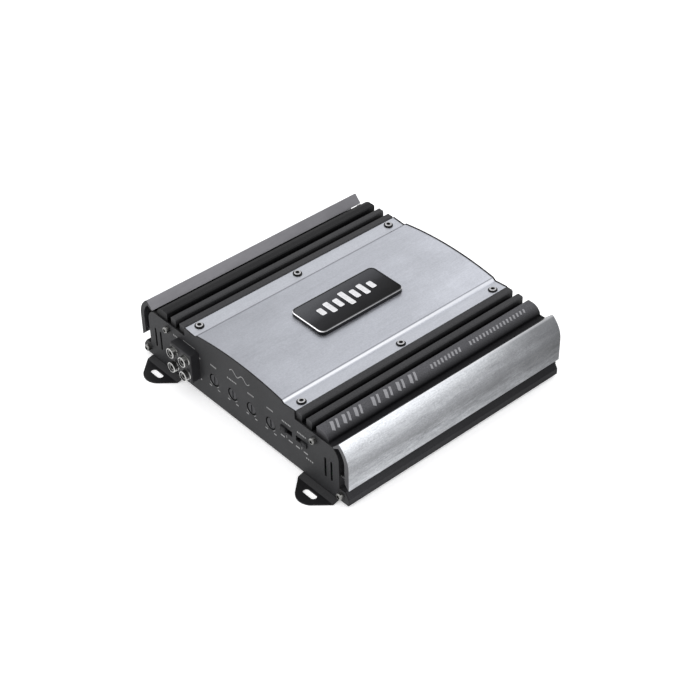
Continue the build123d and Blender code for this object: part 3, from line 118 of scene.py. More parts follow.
# ---- Node building ----
class Shader:
    """A Principled material, and short calls for the nodes that feed it. Lengths are millimetres."""

    def __init__(self, name, roughness=0.5, metallic=0.0):
        self.material = bpy.data.materials.new(name)
        self.material.use_nodes = True
        self.tree = self.material.node_tree
        self.shader = self.tree.nodes["Principled BSDF"]
        self.constant("Roughness", roughness)
        self.constant("Metallic", metallic)
        self.place = self.add("ShaderNodeTexCoord")
        self.position = self.place.outputs["Object"]

    def add(self, kind, **settings):
        node = self.tree.nodes.new(kind)
        for key, value in settings.items():
            setattr(node, key, value)
        return node

    def feed(self, socket, value):
        if isinstance(value, bpy.types.NodeSocket):
            self.tree.links.new(value, socket)
        else:
            socket.default_value = value

    def constant(self, name, value):
        self.shader.inputs[name].default_value = value

    # Numbers
    def math(self, operation, a, b=0.0):
        node = self.add("ShaderNodeMath", operation=operation)
        self.feed(node.inputs[0], a)
        self.feed(node.inputs[1], b)
        return node.outputs["Value"]

    def product(self, first, *others):
        for other in others:
            first = self.math("MULTIPLY", first, other)
        return first

    def total(self, first, *others):
        for other in others:
            first = self.math("ADD", first, other)
        return first

    def span(self, value, low, high, to_low=0.0, to_high=1.0):
        node = self.add("ShaderNodeMapRange", clamp=True)
        self.feed(node.inputs["Value"], value)
        node.inputs["From Min"].default_value = low
        node.inputs["From Max"].default_value = high
        node.inputs["To Min"].default_value = to_low
        node.inputs["To Max"].default_value = to_high
        return node.outputs["Result"]

    def band(self, value, rise, fall):
        """1 between two edges: it comes in over rise and goes out over fall."""
        return self.product(self.span(value, *rise), self.span(value, fall[1], fall[0]))

    def wander(self, noise, reach):
        """A shift that follows a noise, by at most half the reach either way."""
        return self.product(self.math("SUBTRACT", noise, 0.5), reach)

    # Places and directions
    def axis(self, index):
        """The place along an axis of the object, in millimetres."""
        node = self.add("ShaderNodeSeparateXYZ")
        self.feed(node.inputs[0], self.position)
        return self.product(node.outputs[index], 1 / MM)

    def facing(self, index):
        """The surface's own direction along an axis of the object, from -1 to 1."""
        node = self.add("ShaderNodeSeparateXYZ")
        self.feed(node.inputs[0], self.place.outputs["Normal"])
        return node.outputs[index]

    def end_cut(self):
        """1 on faces that look along Y, such as an extrusion's sawn ends."""
        return self.span(self.math("ABSOLUTE", self.facing(1)), 0.7, 0.9)

    def noise(self, size, detail=3.0, roughness=0.55, seed=0.0):
        """Noise with features of that size, one for all axes or one for each."""
        sizes = (size,) * 3 if isinstance(size, (int, float)) else size
        mapping = self.add("ShaderNodeMapping")
        self.feed(mapping.inputs["Vector"], self.position)
        mapping.inputs["Scale"].default_value = [1.0 / (s * MM) for s in sizes]
        mapping.inputs["Location"].default_value = (seed, seed * 1.7, seed * 0.6)
        node = self.add("ShaderNodeTexNoise")
        self.feed(node.inputs["Vector"], mapping.outputs["Vector"])
        node.inputs["Scale"].default_value = 1.0
        node.inputs["Detail"].default_value = detail
        node.inputs["Roughness"].default_value = roughness
        return node.outputs["Fac"]

    # Colours
    def tones(self, value, stops):
        """The grey or colour that goes with a value, blended between stops."""
        low, high = stops[0][0], stops[-1][0]
        node = self.add("ShaderNodeValToRGB")
        self.feed(node.inputs["Fac"], self.span(value, low, high))
        elements = node.color_ramp.elements
        while len(elements) < len(stops):
            elements.new(0.5)
        for element, (place, colour) in zip(elements, stops):
            element.position = (place - low) / (high - low)
            grey = isinstance(colour, float)
            element.color = (colour, colour, colour, 1) if grey else (*colour, 1)
        return node.outputs["Color"]

    def mix(self, factor, a, b, blend="MIX"):
        node = self.add("ShaderNodeMix", data_type="RGBA", blend_type=blend)
        self.feed(node.inputs["Factor"], factor)
        for socket, value in ((node.inputs["A"], a), (node.inputs["B"], b)):
            self.feed(socket, value if isinstance(value, bpy.types.NodeSocket) else (*value, 1))
        return node.outputs["Result"]

    def scaled(self, colour, factor):
        return self.mix(1.0, colour, factor, "MULTIPLY")

    # Outputs
    def colour(self, value):
        self.feed(self.shader.inputs["Base Color"], value)

    def roughness(self, source, low, high, *more):
        """Roughness between two values as a noise goes from low to high, plus any more terms."""
        value = self.span(source, 0.3, 0.7, low, high)
        self.feed(self.shader.inputs["Roughness"], self.total(value, *more))

    def bump(self, value, depth, strength=1.0, edge=0.0):
        """Relief of that depth, on edges eased by that radius."""
        node = self.add("ShaderNodeBump")
        self.feed(node.inputs["Height"], value)
        node.inputs["Distance"].default_value = depth * MM
        node.inputs["Strength"].default_value = strength
        if edge > 0:
            ease = self.add("ShaderNodeBevel", samples=4)
            ease.inputs["Radius"].default_value = edge * MM
            self.feed(node.inputs["Normal"], ease.outputs["Normal"])
        self.feed(self.shader.inputs["Normal"], node.outputs["Normal"])


# ---- Metals ----
def black_extrusion():
    """Black anodised extrusion: die lines along Y and fine grain, with painted shade in the grooves, on the
    left wide rib and low on the rails, and a painted sheen on the rib tops and the wide right rib.
    """
    s = Shader("black_extrusion")
    x, y, z = s.axis(0), s.axis(1), s.axis(2)
    lines = s.noise((0.9, 160, 0.9), 4.0)
    grain = s.noise((0.45, 0.9, 0.45), 3.0, 0.7, seed=3.0)
    cloud = s.noise((25, 60, 25), 2.0, seed=7.0)
    tone = s.mix(lines, (0.012, 0.012, 0.013), (0.024, 0.024, 0.026))
    tone = s.mix(s.span(grain, 0.4, 0.75, 0.0, 0.55), tone, (0.055, 0.055, 0.058))
    tone = s.mix(s.span(cloud, 0.3, 0.7, 0.0, 0.35), tone, (0.010, 0.010, 0.011))
    # Painted shade: darkest on the groove floors, paler low on the rails and on the rib tops.
    depth = s.tones(z, HEATSINK_SHADE_TONES)
    # Painted sheen and shade by rib: the left wide rib darker, the wide right rib brighter towards its top.
    left_rib = s.span(x, *LEFT_RIB_X)
    right_rib = s.product(s.span(x, *WIDE_RIB_X), s.span(z, *WIDE_RIB_Z, 0.25, 1.0))
    side = s.mix(right_rib, (1.0, 1.0, 1.0), (2.6, 2.6, 2.68))
    side = s.mix(left_rib, side, (0.50, 0.50, 0.50))
    tone = s.scaled(s.scaled(tone, depth), side)
    # Painted shade low on the rails, deeper towards the far end.
    rail = s.product(s.span(z, *RAIL_SHADE_Z), s.span(y, *RAIL_SHADE_Y, 0.0, 0.75))
    tone = s.mix(rail, tone, (0.003, 0.003, 0.0035))
    # Painted sheen added on the rib tops, less on the left wide rib.
    crown = s.product(s.span(z, *RIB_SHEEN_Z), s.span(grain, 0.3, 0.7, 0.55, 1.0))
    crown = s.product(crown, s.span(left_rib, 0.0, 1.0, 1.0, 0.2))
    s.colour(s.mix(crown, tone, (0.028, 0.028, 0.029), "ADD"))
    s.roughness(grain, 0.40, 0.58)
    s.constant("Specular IOR Level", 0.10)
    s.bump(s.total(lines, s.product(grain, 0.5)), 0.04, 0.6, 0.25)
    return s.material


def metal_streak(s, run):
    """Streaks of that length along Y."""
    return s.noise((2.6, run, 2.6), 5.0, 0.65, seed=5.0)


def metal_cloud(s):
    return s.noise((26, 40, 26), 4.0, 0.6, seed=11.0)


def brushed_metal(name, light, dark, shade, blotch, rough, run):
    """Silver brushed along Y: fine hairlines, longer streaks and soft cloudy patches."""
    s = Shader(name, rough, 1.0)
    hair = s.noise((0.35, 14, 0.35))
    speck = s.noise((0.9, 1.6, 0.9), 3.0, 0.7, seed=2.0)
    streak = metal_streak(s, run)
    cloud = metal_cloud(s)
    fine = s.total(s.product(hair, 0.4), s.product(speck, 0.6))
    tone = s.mix(s.span(fine, 0.38, 0.62), dark, light)
    worn = tuple(c * 0.62 for c in dark)
    tone = s.mix(s.span(streak, 0.42, 0.68, 0.0, blotch), tone, worn)
    polished = tuple(min(1.0, c * 1.12) for c in light)
    tone = s.mix(s.span(cloud, 0.4, 0.7, 0.0, blotch * 0.7), tone, polished)
    s.colour(shade(s, tone))
    s.roughness(hair, rough - 0.05, rough + 0.07, s.span(cloud, 0.3, 0.7, 0.0, 0.06))
    s.constant("Anisotropic", 0.35)
    s.bump(s.total(hair, s.product(streak, 0.6)), 0.03, 0.4, 0.25)
    return s.material


def cover_shade(s, tone):
    """The cover's folds: a painted sheen from the front left to the rear right, flanges painted brighter, a
    painted highlight on the right riser, painted shade in the right crease and on the left riser, and dark
    end cuts.
    """
    x, y = s.axis(0), s.axis(1)
    # Painted sheen, brighter from the front left corner towards the rear right one.
    corner = s.total(s.product(x, 0.9), y, s.wander(metal_cloud(s), COVER_CLOUD_REACH))
    sheen = s.tones(corner, COVER_SHEEN_TONES)
    # Painted sheen on the flanges: they take less of the sheen above and are painted brighter.
    flange = s.span(s.math("ABSOLUTE", x), *COVER_FLANGE_X)
    level = s.mix(s.product(flange, 0.75), sheen, (1.03, 1.03, 1.03))
    tone = s.scaled(tone, level)
    tone = s.mix(flange, tone, s.scaled(tone, (1.13, 1.13, 1.12)))
    # Painted shade along the right crease.
    crease_shade = s.band(x, *CREASE_SHADE_X)
    tone = s.mix(s.product(crease_shade, 0.7), tone, (0.16, 0.165, 0.18))
    # Painted highlight along the right riser, fading towards the far end.
    riser_highlight = s.band(x, *RISER_HIGHLIGHT_X)
    highlight_fade = s.span(y, *HIGHLIGHT_FADE_Y, 1.0, 0.45)
    tone = s.mix(s.product(riser_highlight, highlight_fade), tone, (0.74, 0.75, 0.78))
    # Painted shade on the left riser.
    riser_shade = s.band(x, *RISER_SHADE_X)
    tone = s.mix(s.product(riser_shade, 0.55), tone, (0.16, 0.16, 0.18))
    return s.mix(s.end_cut(), tone, (0.05, 0.05, 0.055))


def trim_shade(s, tone):
    """The trim: brushed outside, with painted light that falls with height and recedes towards the far end,
    painted shade high up at the far end and a painted highlight near its ridge; dark grey inside and on its
    lip, partly its own anodising and partly painted dark reflection; its cut ends near black on the left and
    grey on the right.
    """
    x, y, z = s.axis(0), s.axis(1), s.axis(2)
    streak = metal_streak(s, TRIM_STREAK)
    cloud = metal_cloud(s)
    # Painted light by height: brightest near the top, darkest at mid height.
    fall = s.tones(s.total(z, s.wander(streak, TRIM_STREAK_REACH)), TRIM_LIGHT_FALL)
    # Painted light receding towards the far end.
    along = s.total(y, s.wander(cloud, TRIM_CLOUD_REACH))
    light_recede = s.tones(along, TRIM_LIGHT_RECEDE)
    outside = s.scaled(s.scaled(tone, fall), light_recede)
    # Painted shade high up towards the far end.
    far_shade = s.product(s.span(z, *TRIM_SHADE_Z), s.span(along, *TRIM_SHADE_Y), 0.5)
    outside = s.mix(far_shade, outside, (0.12, 0.122, 0.128))
    # Painted highlight along the ridge.
    ridge = s.span(z, *TRIM_HIGHLIGHT_Z, 0.0, 0.4)
    outside = s.mix(ridge, outside, (0.74, 0.75, 0.77))
    # Inward faces and the lip: dark grey, partly the trim's own anodising and partly painted dark
    # reflection.
    inside = s.mix(s.span(cloud, 0.35, 0.65), (0.150, 0.148, 0.158), (0.190, 0.188, 0.200))
    outward = s.product(s.facing(0), s.math("SIGN", x))
    tone = s.mix(s.span(outward, -0.05, 0.10), inside, outside)
    cut = s.mix(s.span(x, *TRIM_CUT_X), (0.012, 0.012, 0.013), (0.10, 0.10, 0.105))
    return s.mix(s.end_cut(), tone, cut)


def cover_silver():
    light, dark = (0.472, 0.485, 0.528), (0.392, 0.404, 0.441)
    return brushed_metal("cover_silver", light, dark, cover_shade, 0.10, 0.42, COVER_STREAK)


def trim_silver():
    light, dark = (0.80, 0.82, 0.85), (0.50, 0.515, 0.545)
    return brushed_metal("trim_silver", light, dark, trim_shade, 0.42, 0.36, TRIM_STREAK)


def badge_bezel():
    """Dark lacquered frame; its bevel has painted highlights, brightest on its ends and then on the right.
    """
    s = Shader("badge_bezel", 0.15, 1.0)
    up = s.facing(2)
    wipe = s.noise((6, 14, 6), 4.0)
    fine = s.noise((0.3, 3, 0.3), 2.0, seed=2.0)
    lacquer = s.mix(wipe, (0.010, 0.010, 0.011), (0.03, 0.03, 0.032))
    rim = s.mix(wipe, (0.04, 0.04, 0.042), (0.09, 0.09, 0.095))
    # Painted highlights on the bevel by the way it faces: brightest on the ends, then on the right.
    ends = s.span(s.math("ABSOLUTE", s.facing(1)), 0.2, 0.6)
    right = s.span(s.facing(0), 0.1, 0.6)
    bright = s.mix(wipe, (0.14, 0.14, 0.145), (0.32, 0.32, 0.33))
    bevel = s.mix(right, (0.12, 0.12, 0.125), bright)
    bevel = s.mix(ends, bevel, (0.90, 0.90, 0.92))
    tone = s.mix(s.span(up, 0.30, 0.50), lacquer, bevel)
    s.colour(s.mix(s.span(up, 0.85, 0.95), tone, rim))
    s.roughness(fine, 0.14, 0.30)
    s.bump(fine, 0.01, 0.4)
    return s.material


def badge_plate():
    """Black metallic lacquer with a fleck, and a painted reflection that is paler towards the left and the
    front.
    """
    s = Shader("badge_plate", 0.4)
    fleck = s.noise(0.6, 3.0, 0.8)
    sweep = s.noise((9, 22, 9), 2.0, seed=8.0)
    # Painted reflection: paler towards the left and the front.
    across = s.total(s.axis(0), s.product(s.axis(1), 0.12), s.wander(sweep, BADGE_SWEEP_REACH))
    tone = s.tones(across, BADGE_REFLECTION_TONES)
    bright = s.scaled(tone, (1.9, 1.9, 1.95))
    s.colour(s.mix(s.span(fleck, 0.5, 0.75, 0.0, 0.6), tone, bright))
    s.roughness(fleck, 0.34, 0.5)
    s.constant("Specular IOR Level", 0.08)
    s.bump(fleck, 0.02, 0.4)
    return s.material


def socket_screw():
    """Plated screw, blackened on its sides and in the middle, with a painted highlight as a bright ring on
    its crown.
    """
    s = Shader("socket_screw", 0.28, 1.0)
    turned = s.noise(0.25)
    along = s.math("ABSOLUTE", s.axis(1))
    along = s.math("MINIMUM", along, s.math("ABSOLUTE", s.math("SUBTRACT", along, COVER_SCREW_Y)))
    across = s.math("SUBTRACT", s.math("ABSOLUTE", s.axis(0)), COVER_SCREW_X)
    radius = s.math("SQRT", s.total(s.product(along, along), s.product(across, across)))
    # Painted highlight: a bright ring on each screw's crown.
    ring = s.product(s.span(s.axis(2), *SCREW_CROWN_Z), s.span(radius, *SCREW_HIGHLIGHT_RADIUS))
    black = s.mix(turned, (0.015, 0.015, 0.016), (0.04, 0.04, 0.042))
    bright = s.mix(turned, (0.42, 0.42, 0.43), (0.62, 0.62, 0.63))
    s.colour(s.mix(ring, black, bright))
    s.roughness(turned, 0.22, 0.38)
    s.bump(turned, 0.01, 0.5, 0.1)
    return s.material


def plated(name, light, dark, rough=0.2):
    """Plated metal with fine turning marks and slight tarnish."""
    s = Shader(name, rough, 1.0)
    turned = s.noise(0.25)
    tarnish = s.noise(2.5, seed=5.0)
    s.colour(s.mix(s.span(tarnish, 0.35, 0.7), light, dark))
    s.roughness(turned, rough - 0.06, rough + 0.1)
    s.bump(turned, 0.01, 0.5, 0.1)
    return s.material


def jack_plating():
    """Nickel barrels with slight tarnish: painted highlights on the mouths, underneath and to the right, and
    painted shade on top.
    """
    s = Shader("jack_plating", 0.22, 1.0)
    turned = s.noise(0.25)
    tarnish = s.noise(2.5, seed=5.0)
    # Painted light by the way each face looks: painted shade on top, painted highlights underneath, to the
    # right and on the mouths.
    turn = s.span(s.math("SUBTRACT", s.facing(0), s.facing(2)), -0.3, 1.1)
    top_shade = s.mix(tarnish, (0.05, 0.05, 0.05), (0.14, 0.14, 0.135))
    bright = s.mix(tarnish, (0.42, 0.42, 0.41), (0.66, 0.66, 0.64))
    mouth_highlight = s.mix(tarnish, (0.55, 0.55, 0.54), (0.80, 0.80, 0.78))
    s.colour(s.mix(s.span(s.facing(1), -0.55, -0.85), s.mix(turn, top_shade, bright), mouth_highlight))
    s.roughness(turned, 0.16, 0.32)
    s.bump(turned, 0.01, 0.5, 0.1)
    return s.material


# ---- Paints and plastics ----
def panel_paint():
    """Dark grey fine-texture paint, black on the panel's cut edges."""
    s = Shader("panel_paint", 0.6)
    grain = s.noise(0.7, 4.0, 0.75)
    speck = s.noise(1.5, 2.0, seed=4.0)
    cloud = s.noise(30, 2.0, seed=9.0)
    tone = s.mix(s.span(grain, 0.35, 0.65), (0.008, 0.0082, 0.0087), (0.036, 0.0365, 0.0385))
    tone = s.mix(s.span(speck, 0.45, 0.7, 0.0, 0.5), tone, (0.016, 0.0165, 0.0175))
    tone = s.mix(s.span(cloud, 0.3, 0.7, 0.0, 0.3), tone, (0.042, 0.042, 0.0445))
    edge = s.span(s.math("ABSOLUTE", s.facing(1)), 0.9, 0.6)
    s.colour(s.mix(edge, tone, (0.012, 0.012, 0.013)))
    s.roughness(grain, 0.5, 0.72)
    s.constant("Specular IOR Level", 0.2)
    s.bump(s.total(grain, speck), 0.05, 0.6, 0.2)
    return s.material


def powder_coat():
    """Black powder coat with a slight orange-peel ripple, worn paler at random, and with a painted sheen on
    its slopes.
    """
    s = Shader("black_steel", 0.42)
    high = (0.014, 0.014, 0.015)
    peel = s.noise(0.8, 2.0)
    scuff = s.noise((3, 9, 3), 5.0, 0.7, seed=6.0)
    tone = s.mix(peel, (0.007, 0.007, 0.008), high)
    tone = s.mix(s.span(scuff, 0.6, 0.75, 0.0, 0.4), tone, tuple(c * 2.4 for c in high))
    # Painted sheen on sloping faces, such as the feet's bent ramps.
    slope_sheen = s.band(s.facing(2), (0.80, 0.92), (0.98, 0.995))
    s.colour(s.mix(slope_sheen, tone, s.mix(peel, (0.022, 0.022, 0.023), (0.042, 0.042, 0.044))))
    s.roughness(scuff, 0.34, 0.54)
    s.constant("Specular IOR Level", 0.15)
    s.bump(peel, 0.06, 0.6, 0.2)
    return s.material


def moulded(name, low, high, rough=0.5, grain_size=0.4, gloss=0.3):
    """Moulded plastic with spark-eroded grain and faint flow marks."""
    s = Shader(name, rough)
    grain = s.noise(grain_size, 3.0, 0.65)
    flow = s.noise((5, 9, 5), seed=4.0)
    s.colour(s.mix(s.span(flow, 0.3, 0.7), s.mix(grain, low, high), high))
    s.roughness(grain, rough - 0.08, rough + 0.1)
    s.constant("Specular IOR Level", gloss)
    s.bump(grain, 0.04, 0.5, 0.15)
    return s.material


def light_lens():
    """Green clear plastic, cloudy in random patches."""
    s = Shader("light_lens", 0.18)
    cloud = s.noise(1.8)
    s.colour(s.mix(s.span(cloud, 0.3, 0.7), (0.05, 0.30, 0.10), (0.15, 0.60, 0.22)))
    s.roughness(cloud, 0.10, 0.26)
    s.constant("Transmission Weight", 0.5)
    s.constant("IOR", 1.49)
    s.bump(cloud, 0.02, 0.3, 0.2)
    return s.material


def fuse_amber():
    """Amber fuse body with tinned blades."""
    s = Shader("fuse_amber", 0.2)
    flow = s.noise((3, 6, 9), 2.0)
    fine = s.noise(0.5, 2.0, seed=3.0)
    body = s.mix(s.span(flow, 0.3, 0.7), (0.80, 0.31, 0.012), (0.92, 0.43, 0.03))
    tin = s.mix(fine, (0.50, 0.50, 0.49), (0.68, 0.68, 0.66))
    blade = s.span(s.axis(1), *FUSE_BLADE_Y)
    s.colour(s.mix(blade, body, tin))
    s.feed(s.shader.inputs["Metallic"], blade)
    s.roughness(fine, 0.14, 0.26)
    s.bump(fine, 0.01, 0.3, 0.2)
    return s.material


def screen_ink(name, low, high):
    """Screen-printed ink, thin in places."""
    s = Shader(name, 0.55)
    thin = s.noise(0.5, 4.0, 0.7)
    patch = s.noise(4, 2.0, seed=3.0)
    tone = s.mix(s.span(thin, 0.3, 0.7), low, high)
    s.colour(s.mix(s.span(patch, 0.45, 0.7, 0.0, 0.3), tone, low))
    s.roughness(thin, 0.45, 0.65)
    s.bump(thin, 0.01, 0.4)
    return s.material


# ---- Electronics ----
def circuit_board():
    """Green solder mask over copper tracks."""
    s = Shader("circuit_board", 0.35)
    brick = s.add("ShaderNodeTexBrick", offset=0.35, squash=0.8)
    s.feed(brick.inputs["Vector"], s.position)
    brick.inputs["Scale"].default_value = 90.0
    brick.inputs["Mortar Size"].default_value = 0.06
    weave = s.noise(0.6, 2.0)
    tone = s.mix(brick.outputs["Fac"], (0.010, 0.085, 0.035), (0.022, 0.16, 0.062))
    s.colour(s.mix(s.span(weave, 0.4, 0.7, 0.0, 0.35), tone, (0.006, 0.05, 0.022)))
    s.roughness(weave, 0.28, 0.42)
    s.bump(s.total(brick.outputs["Fac"], weave), 0.04, 0.5)
    return s.material


def wound_wire():
    """Enamelled copper wire: fine parallel turns under amber varnish."""
    s = Shader("wound_wire", 0.3, 0.8)
    wave = s.add("ShaderNodeTexWave", wave_type="BANDS", bands_direction="Z")
    s.feed(wave.inputs["Vector"], s.position)
    wave.inputs["Scale"].default_value = 420.0
    wave.inputs["Distortion"].default_value = 1.5
    varnish = s.noise(4)
    tone = s.mix(wave.outputs["Fac"], (0.28, 0.09, 0.03), (0.78, 0.36, 0.15))
    s.colour(s.mix(s.span(varnish, 0.4, 0.7, 0.0, 0.4), tone, (0.45, 0.16, 0.05)))
    s.roughness(varnish, 0.22, 0.4)
    s.bump(wave.outputs["Fac"], 0.2, 0.7)
    return s.material


def capacitor_sleeve():
    """Dark blue shrink sleeve with a pale stripe, and a bare aluminium top."""
    s = Shader("capacitor_sleeve", 0.3)
    shrink = s.noise((1.5, 1.5, 6))
    tone = s.mix(shrink, (0.010, 0.014, 0.045), (0.022, 0.030, 0.085))
    tone = s.mix(s.span(s.facing(0), 0.93, 0.96), tone, (0.55, 0.56, 0.58))
    s.colour(s.mix(s.span(s.facing(2), 0.8, 0.95), tone, (0.62, 0.62, 0.63)))
    s.roughness(shrink, 0.24, 0.4)
    s.bump(shrink, 0.05, 0.5)
    return s.material


# ---- Which finish each CAD node gets ----
def finishes():
    """Each finish with the nodes that get it; a * stands for any part of a name."""
    nickel = plated("nickel", (0.60, 0.595, 0.58), (0.36, 0.355, 0.34))
    dull_nickel = plated("dull_nickel", (0.30, 0.30, 0.29), (0.12, 0.12, 0.115), 0.3)
    chrome = plated("emblem_chrome", (0.82, 0.82, 0.84), (0.66, 0.66, 0.68), 0.22)
    brass = plated("brass", (0.80, 0.62, 0.32), (0.55, 0.40, 0.18), 0.26)
    black = moulded("black_plastic", (0.010, 0.010, 0.011), (0.018, 0.018, 0.020), 0.36)
    grey = moulded("control_grey", (0.030, 0.030, 0.032), (0.048, 0.048, 0.050))
    knob = moulded("knob_plastic", (0.024, 0.0245, 0.026), (0.042, 0.042, 0.045), 0.55, gloss=0.2)
    slider = moulded("slider_plastic", (0.010, 0.010, 0.011), (0.020, 0.020, 0.022), 0.45, gloss=0.2)
    switch = moulded("switch_black", (0.005, 0.005, 0.006), (0.010, 0.010, 0.011), 0.55, gloss=0.1)
    ferrite = moulded("ferrite", (0.03, 0.03, 0.03), (0.07, 0.07, 0.07), 0.7, 0.8)
    pad = moulded("thermal_pad", (0.32, 0.32, 0.34), (0.45, 0.45, 0.47), 0.8, 0.7)
    return [
        (black_extrusion(), ["heatsink"]),
        (cover_silver(), ["top_cover"]),
        (trim_silver(), ["side_trim_*"]),
        (socket_screw(), ["cover_screws"]),
        (panel_paint(), ["control_panel", "power_panel"]),
        (powder_coat(), ["base_plate*", "foot_*", "cover_washers"]),
        (badge_bezel(), ["badge_bezel"]),
        (badge_plate(), ["badge_plate"]),
        (chrome, ["badge_emblem"]),
        (jack_plating(), ["jack_shells"]),
        (dull_nickel, ["panel_screws", "jack_contacts"]),
        (nickel, ["board_screws", "clamp_bar_*", "clamp_screws", "power_screw_*", "speaker_screw_*"]),
        (brass, ["board_standoffs", "terminal_clamps"]),
        (black, ["jack_housing", "jack_insulators", "power_terminal_housing", "speaker_terminal_housing",
                 "fuse_holder", "transistors_*", "control_chips"]),
        (grey, ["control_bodies"]),
        (knob, ["*_knob"]),
        (slider, ["switch_slider_*"]),
        (switch, ["switch_housings"]),
        (circuit_board(), ["main_board"]),
        (ferrite, ["toroid_core"]),
        (wound_wire(), ["toroid_winding", "filter_choke"]),
        (capacitor_sleeve(), ["rail_capacitors"]),
        (pad, ["thermal_pad_*"]),
        (light_lens(), ["status_lights"]),
        (fuse_amber(), ["fuse_left", "fuse_right"]),
    ]


def paint_nodes():
    """Give every CAD node its finish; a node that no finish names stops the script."""
    choices = finishes()
    for name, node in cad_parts.items():
        finish = next(finish for finish, patterns in choices
                      if any(fnmatchcase(name, pattern) for pattern in patterns))
        for place in node.material_slots:
            place.material = finish


# ---- Printed marks: thin raised ribbons on a surface ----
PRINT_LIFT = 0.01 * MM
PANEL_INK = 0.05 * MM
RIB_INK = 0.14 * MM


def ribbon(mesh, points, width, surface, thickness):
    """A flat ribbon along 2-D points; surface turns them into a place and an outward direction."""
    rows = []
    for index, point in enumerate(points):
        before = Vector(points[max(index - 1, 0)])
        after = Vector(points[min(index + 1, len(points) - 1)])
        along = (after - before).normalized()
        across = Vector((-along.y, along.x)) * width / 2
        corners = []
        for edge in (Vector(point) + across, Vector(point) - across):
            place, outward = surface(edge.x, edge.y)
            corners += [mesh.verts.new(place + outward * height) for height in (PRINT_LIFT, thickness)]
        rows.append((corners[1], corners[3], corners[2], corners[0]))
    for first, second in zip(rows, rows[1:]):
        for side in range(4):
            other = (side + 1) % 4
            mesh.faces.new((first[side], first[other], second[other], second[side]))
    mesh.faces.new(rows[0])
    mesh.faces.new(tuple(reversed(rows[-1])))


def marks_piece(name, lines, surface, material, thickness):
    """One piece from lines, each a list of points and a width in millimetres."""
    mesh = bmesh.new()
    for points, width in lines:
        ribbon(mesh, [(u * MM, v * MM) for u, v in points], width * MM, surface, thickness)
    bmesh.ops.recalc_face_normals(mesh, faces=mesh.faces)
    data = bpy.data.meshes.new(name)
    mesh.to_mesh(data)
    mesh.free()
    data.materials.append(material)
    piece = bpy.data.objects.new(name, data)
    bpy.context.scene.collection.objects.link(piece)
    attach(piece, "case")


def front_surface(u, v):
    """Control panel: u runs right, v is height above the case bottom."""
    return Vector((u, FRONT_Y, CASE_BOTTOM + v)), Vector((0, -1, 0))


def rear_surface(u, v):
    """Power panel, seen from its own side: u runs right, v is height above the case bottom."""
    return Vector((-u, REAR_Y, CASE_BOTTOM + v)), Vector((0, 1, 0))


def circle_through(first, second, third):
    """Centre and radius of the circle through three points."""
    (ax, ay), (bx, by), (cx, cy) = first, second, third
    d = 2 * (ax * (by - cy) + bx * (cy - ay) + cx * (ay - by))
    a, b, c = ax * ax + ay * ay, bx * bx + by * by, cx * cx + cy * cy
    x = (a * (by - cy) + b * (cy - ay) + c * (ay - by)) / d
    y = (a * (cx - bx) + b * (ax - cx) + c * (bx - ax)) / d
    return x, y, math.hypot(ax - x, ay - y)


CREST_X, CREST_H, CREST_RADIUS = (length * MM for length in circle_through(*RIB_CREST))


def rib_surface(u, v):
    """Right wide rib: u runs along Y, v across, over its flat and down its crest."""
    if v <= RIB_FLAT_X:
        return Vector((v, u, RIB_TOP_Z)), Vector((0, 0, 1))
    rise = math.sqrt(CREST_RADIUS ** 2 - (v - CREST_X) ** 2)
    outward = Vector((v - CREST_X, 0, rise)).normalized()
    return Vector((v, u, CASE_BOTTOM + CREST_H + rise)), outward


# Shapes in millimetres, each a list of points and a width
def dash(u, v, length, width):
    return ([(u - length / 2, v), (u + length / 2, v)], width)


def upright(u, high, low, width):
    return ([(u, high), (u, low)], width)


def minus(u, v, size, width):
    return [dash(u, v, size, width)]


def plus(u, v, size, width):
    return [dash(u, v, size, width), upright(u, v + size / 2, v - size / 2, width)]


def arc(u, v, radius, start, end, width, steps=8):
    points = []
    for step in range(steps + 1):
        angle = math.radians(start + (end - start) * step / steps)
        points.append((u + radius * math.cos(angle), v + radius * math.sin(angle)))
    return (points, width)


def wave_mark(u, v, length, swing, width=0.6, steps=48):
    """Two full waves."""
    points = []
    for step in range(steps + 1):
        t = step / steps
        points.append((u + (t - 0.5) * length, v + swing * math.sin(t * 4 * math.pi)))
    return (points, width)


def slanted(start, low, high, width, lean, steps=8):
    """A bar across the rib, leaning along it, in short steps so that it follows the crest."""
    return ([(start + lean * t / steps, high - (high - low) * t / steps) for t in range(steps + 1)], width)


def caption(u, v, length, height, blocks):
    """A printed caption's stand-in: a row of short upright blocks."""
    pitch = length / blocks
    block = pitch * 0.62
    return [dash(u - length / 2 + pitch * (index + 0.5), v, block, height) for index in range(blocks)]


def middle(name):
    """The middle of a node in millimetres, across the case and above its bottom."""
    low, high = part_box(name)
    return (low.x + high.x) / 2 / MM, ((low.z + high.z) / 2 - CASE_BOTTOM) / MM


# ---- What is printed where, in millimetres; v is the height above the case bottom ----
KNOBS = ("gain_knob", "crossover_knob", "bass_knob", "treble_knob")
KNOB_CAPTION_V = 34.8
KNOB_CAPTION_LENGTH = 7.0
CROSSOVER_CAPTION_LENGTH = 11.0
KNOB_ENDS_V = 14.9
KNOB_SCALE_RADIUS = 5.9
KNOB_SCALE_STARTS = (215, -63)
KNOB_SCALE_SWEEP = 28
SWITCH_TRAVEL = 6.2
SWITCH_CAPTION_V = 33.4
SWITCH_ENDS_V = 19.4
CONTROL_CAPTION_HEIGHT = 1.3
JACK_DOT_U = -44.6
JACK_ROW_V = (32.6, 13.2)
EARTH_SIGN_V = 36.4
EARTH_BARS = ((0.0, 4.4), (0.9, 2.8), (1.8, 1.4))
REMOTE_CAPTION_V = 36.0
SUPPLY_SIGN_V = 36.2
SPEAKER_SIGN_V = 31.4
SPEAKER_SIGN_SIZE = 2.8
FUSE_CAPTION_V = 38.6
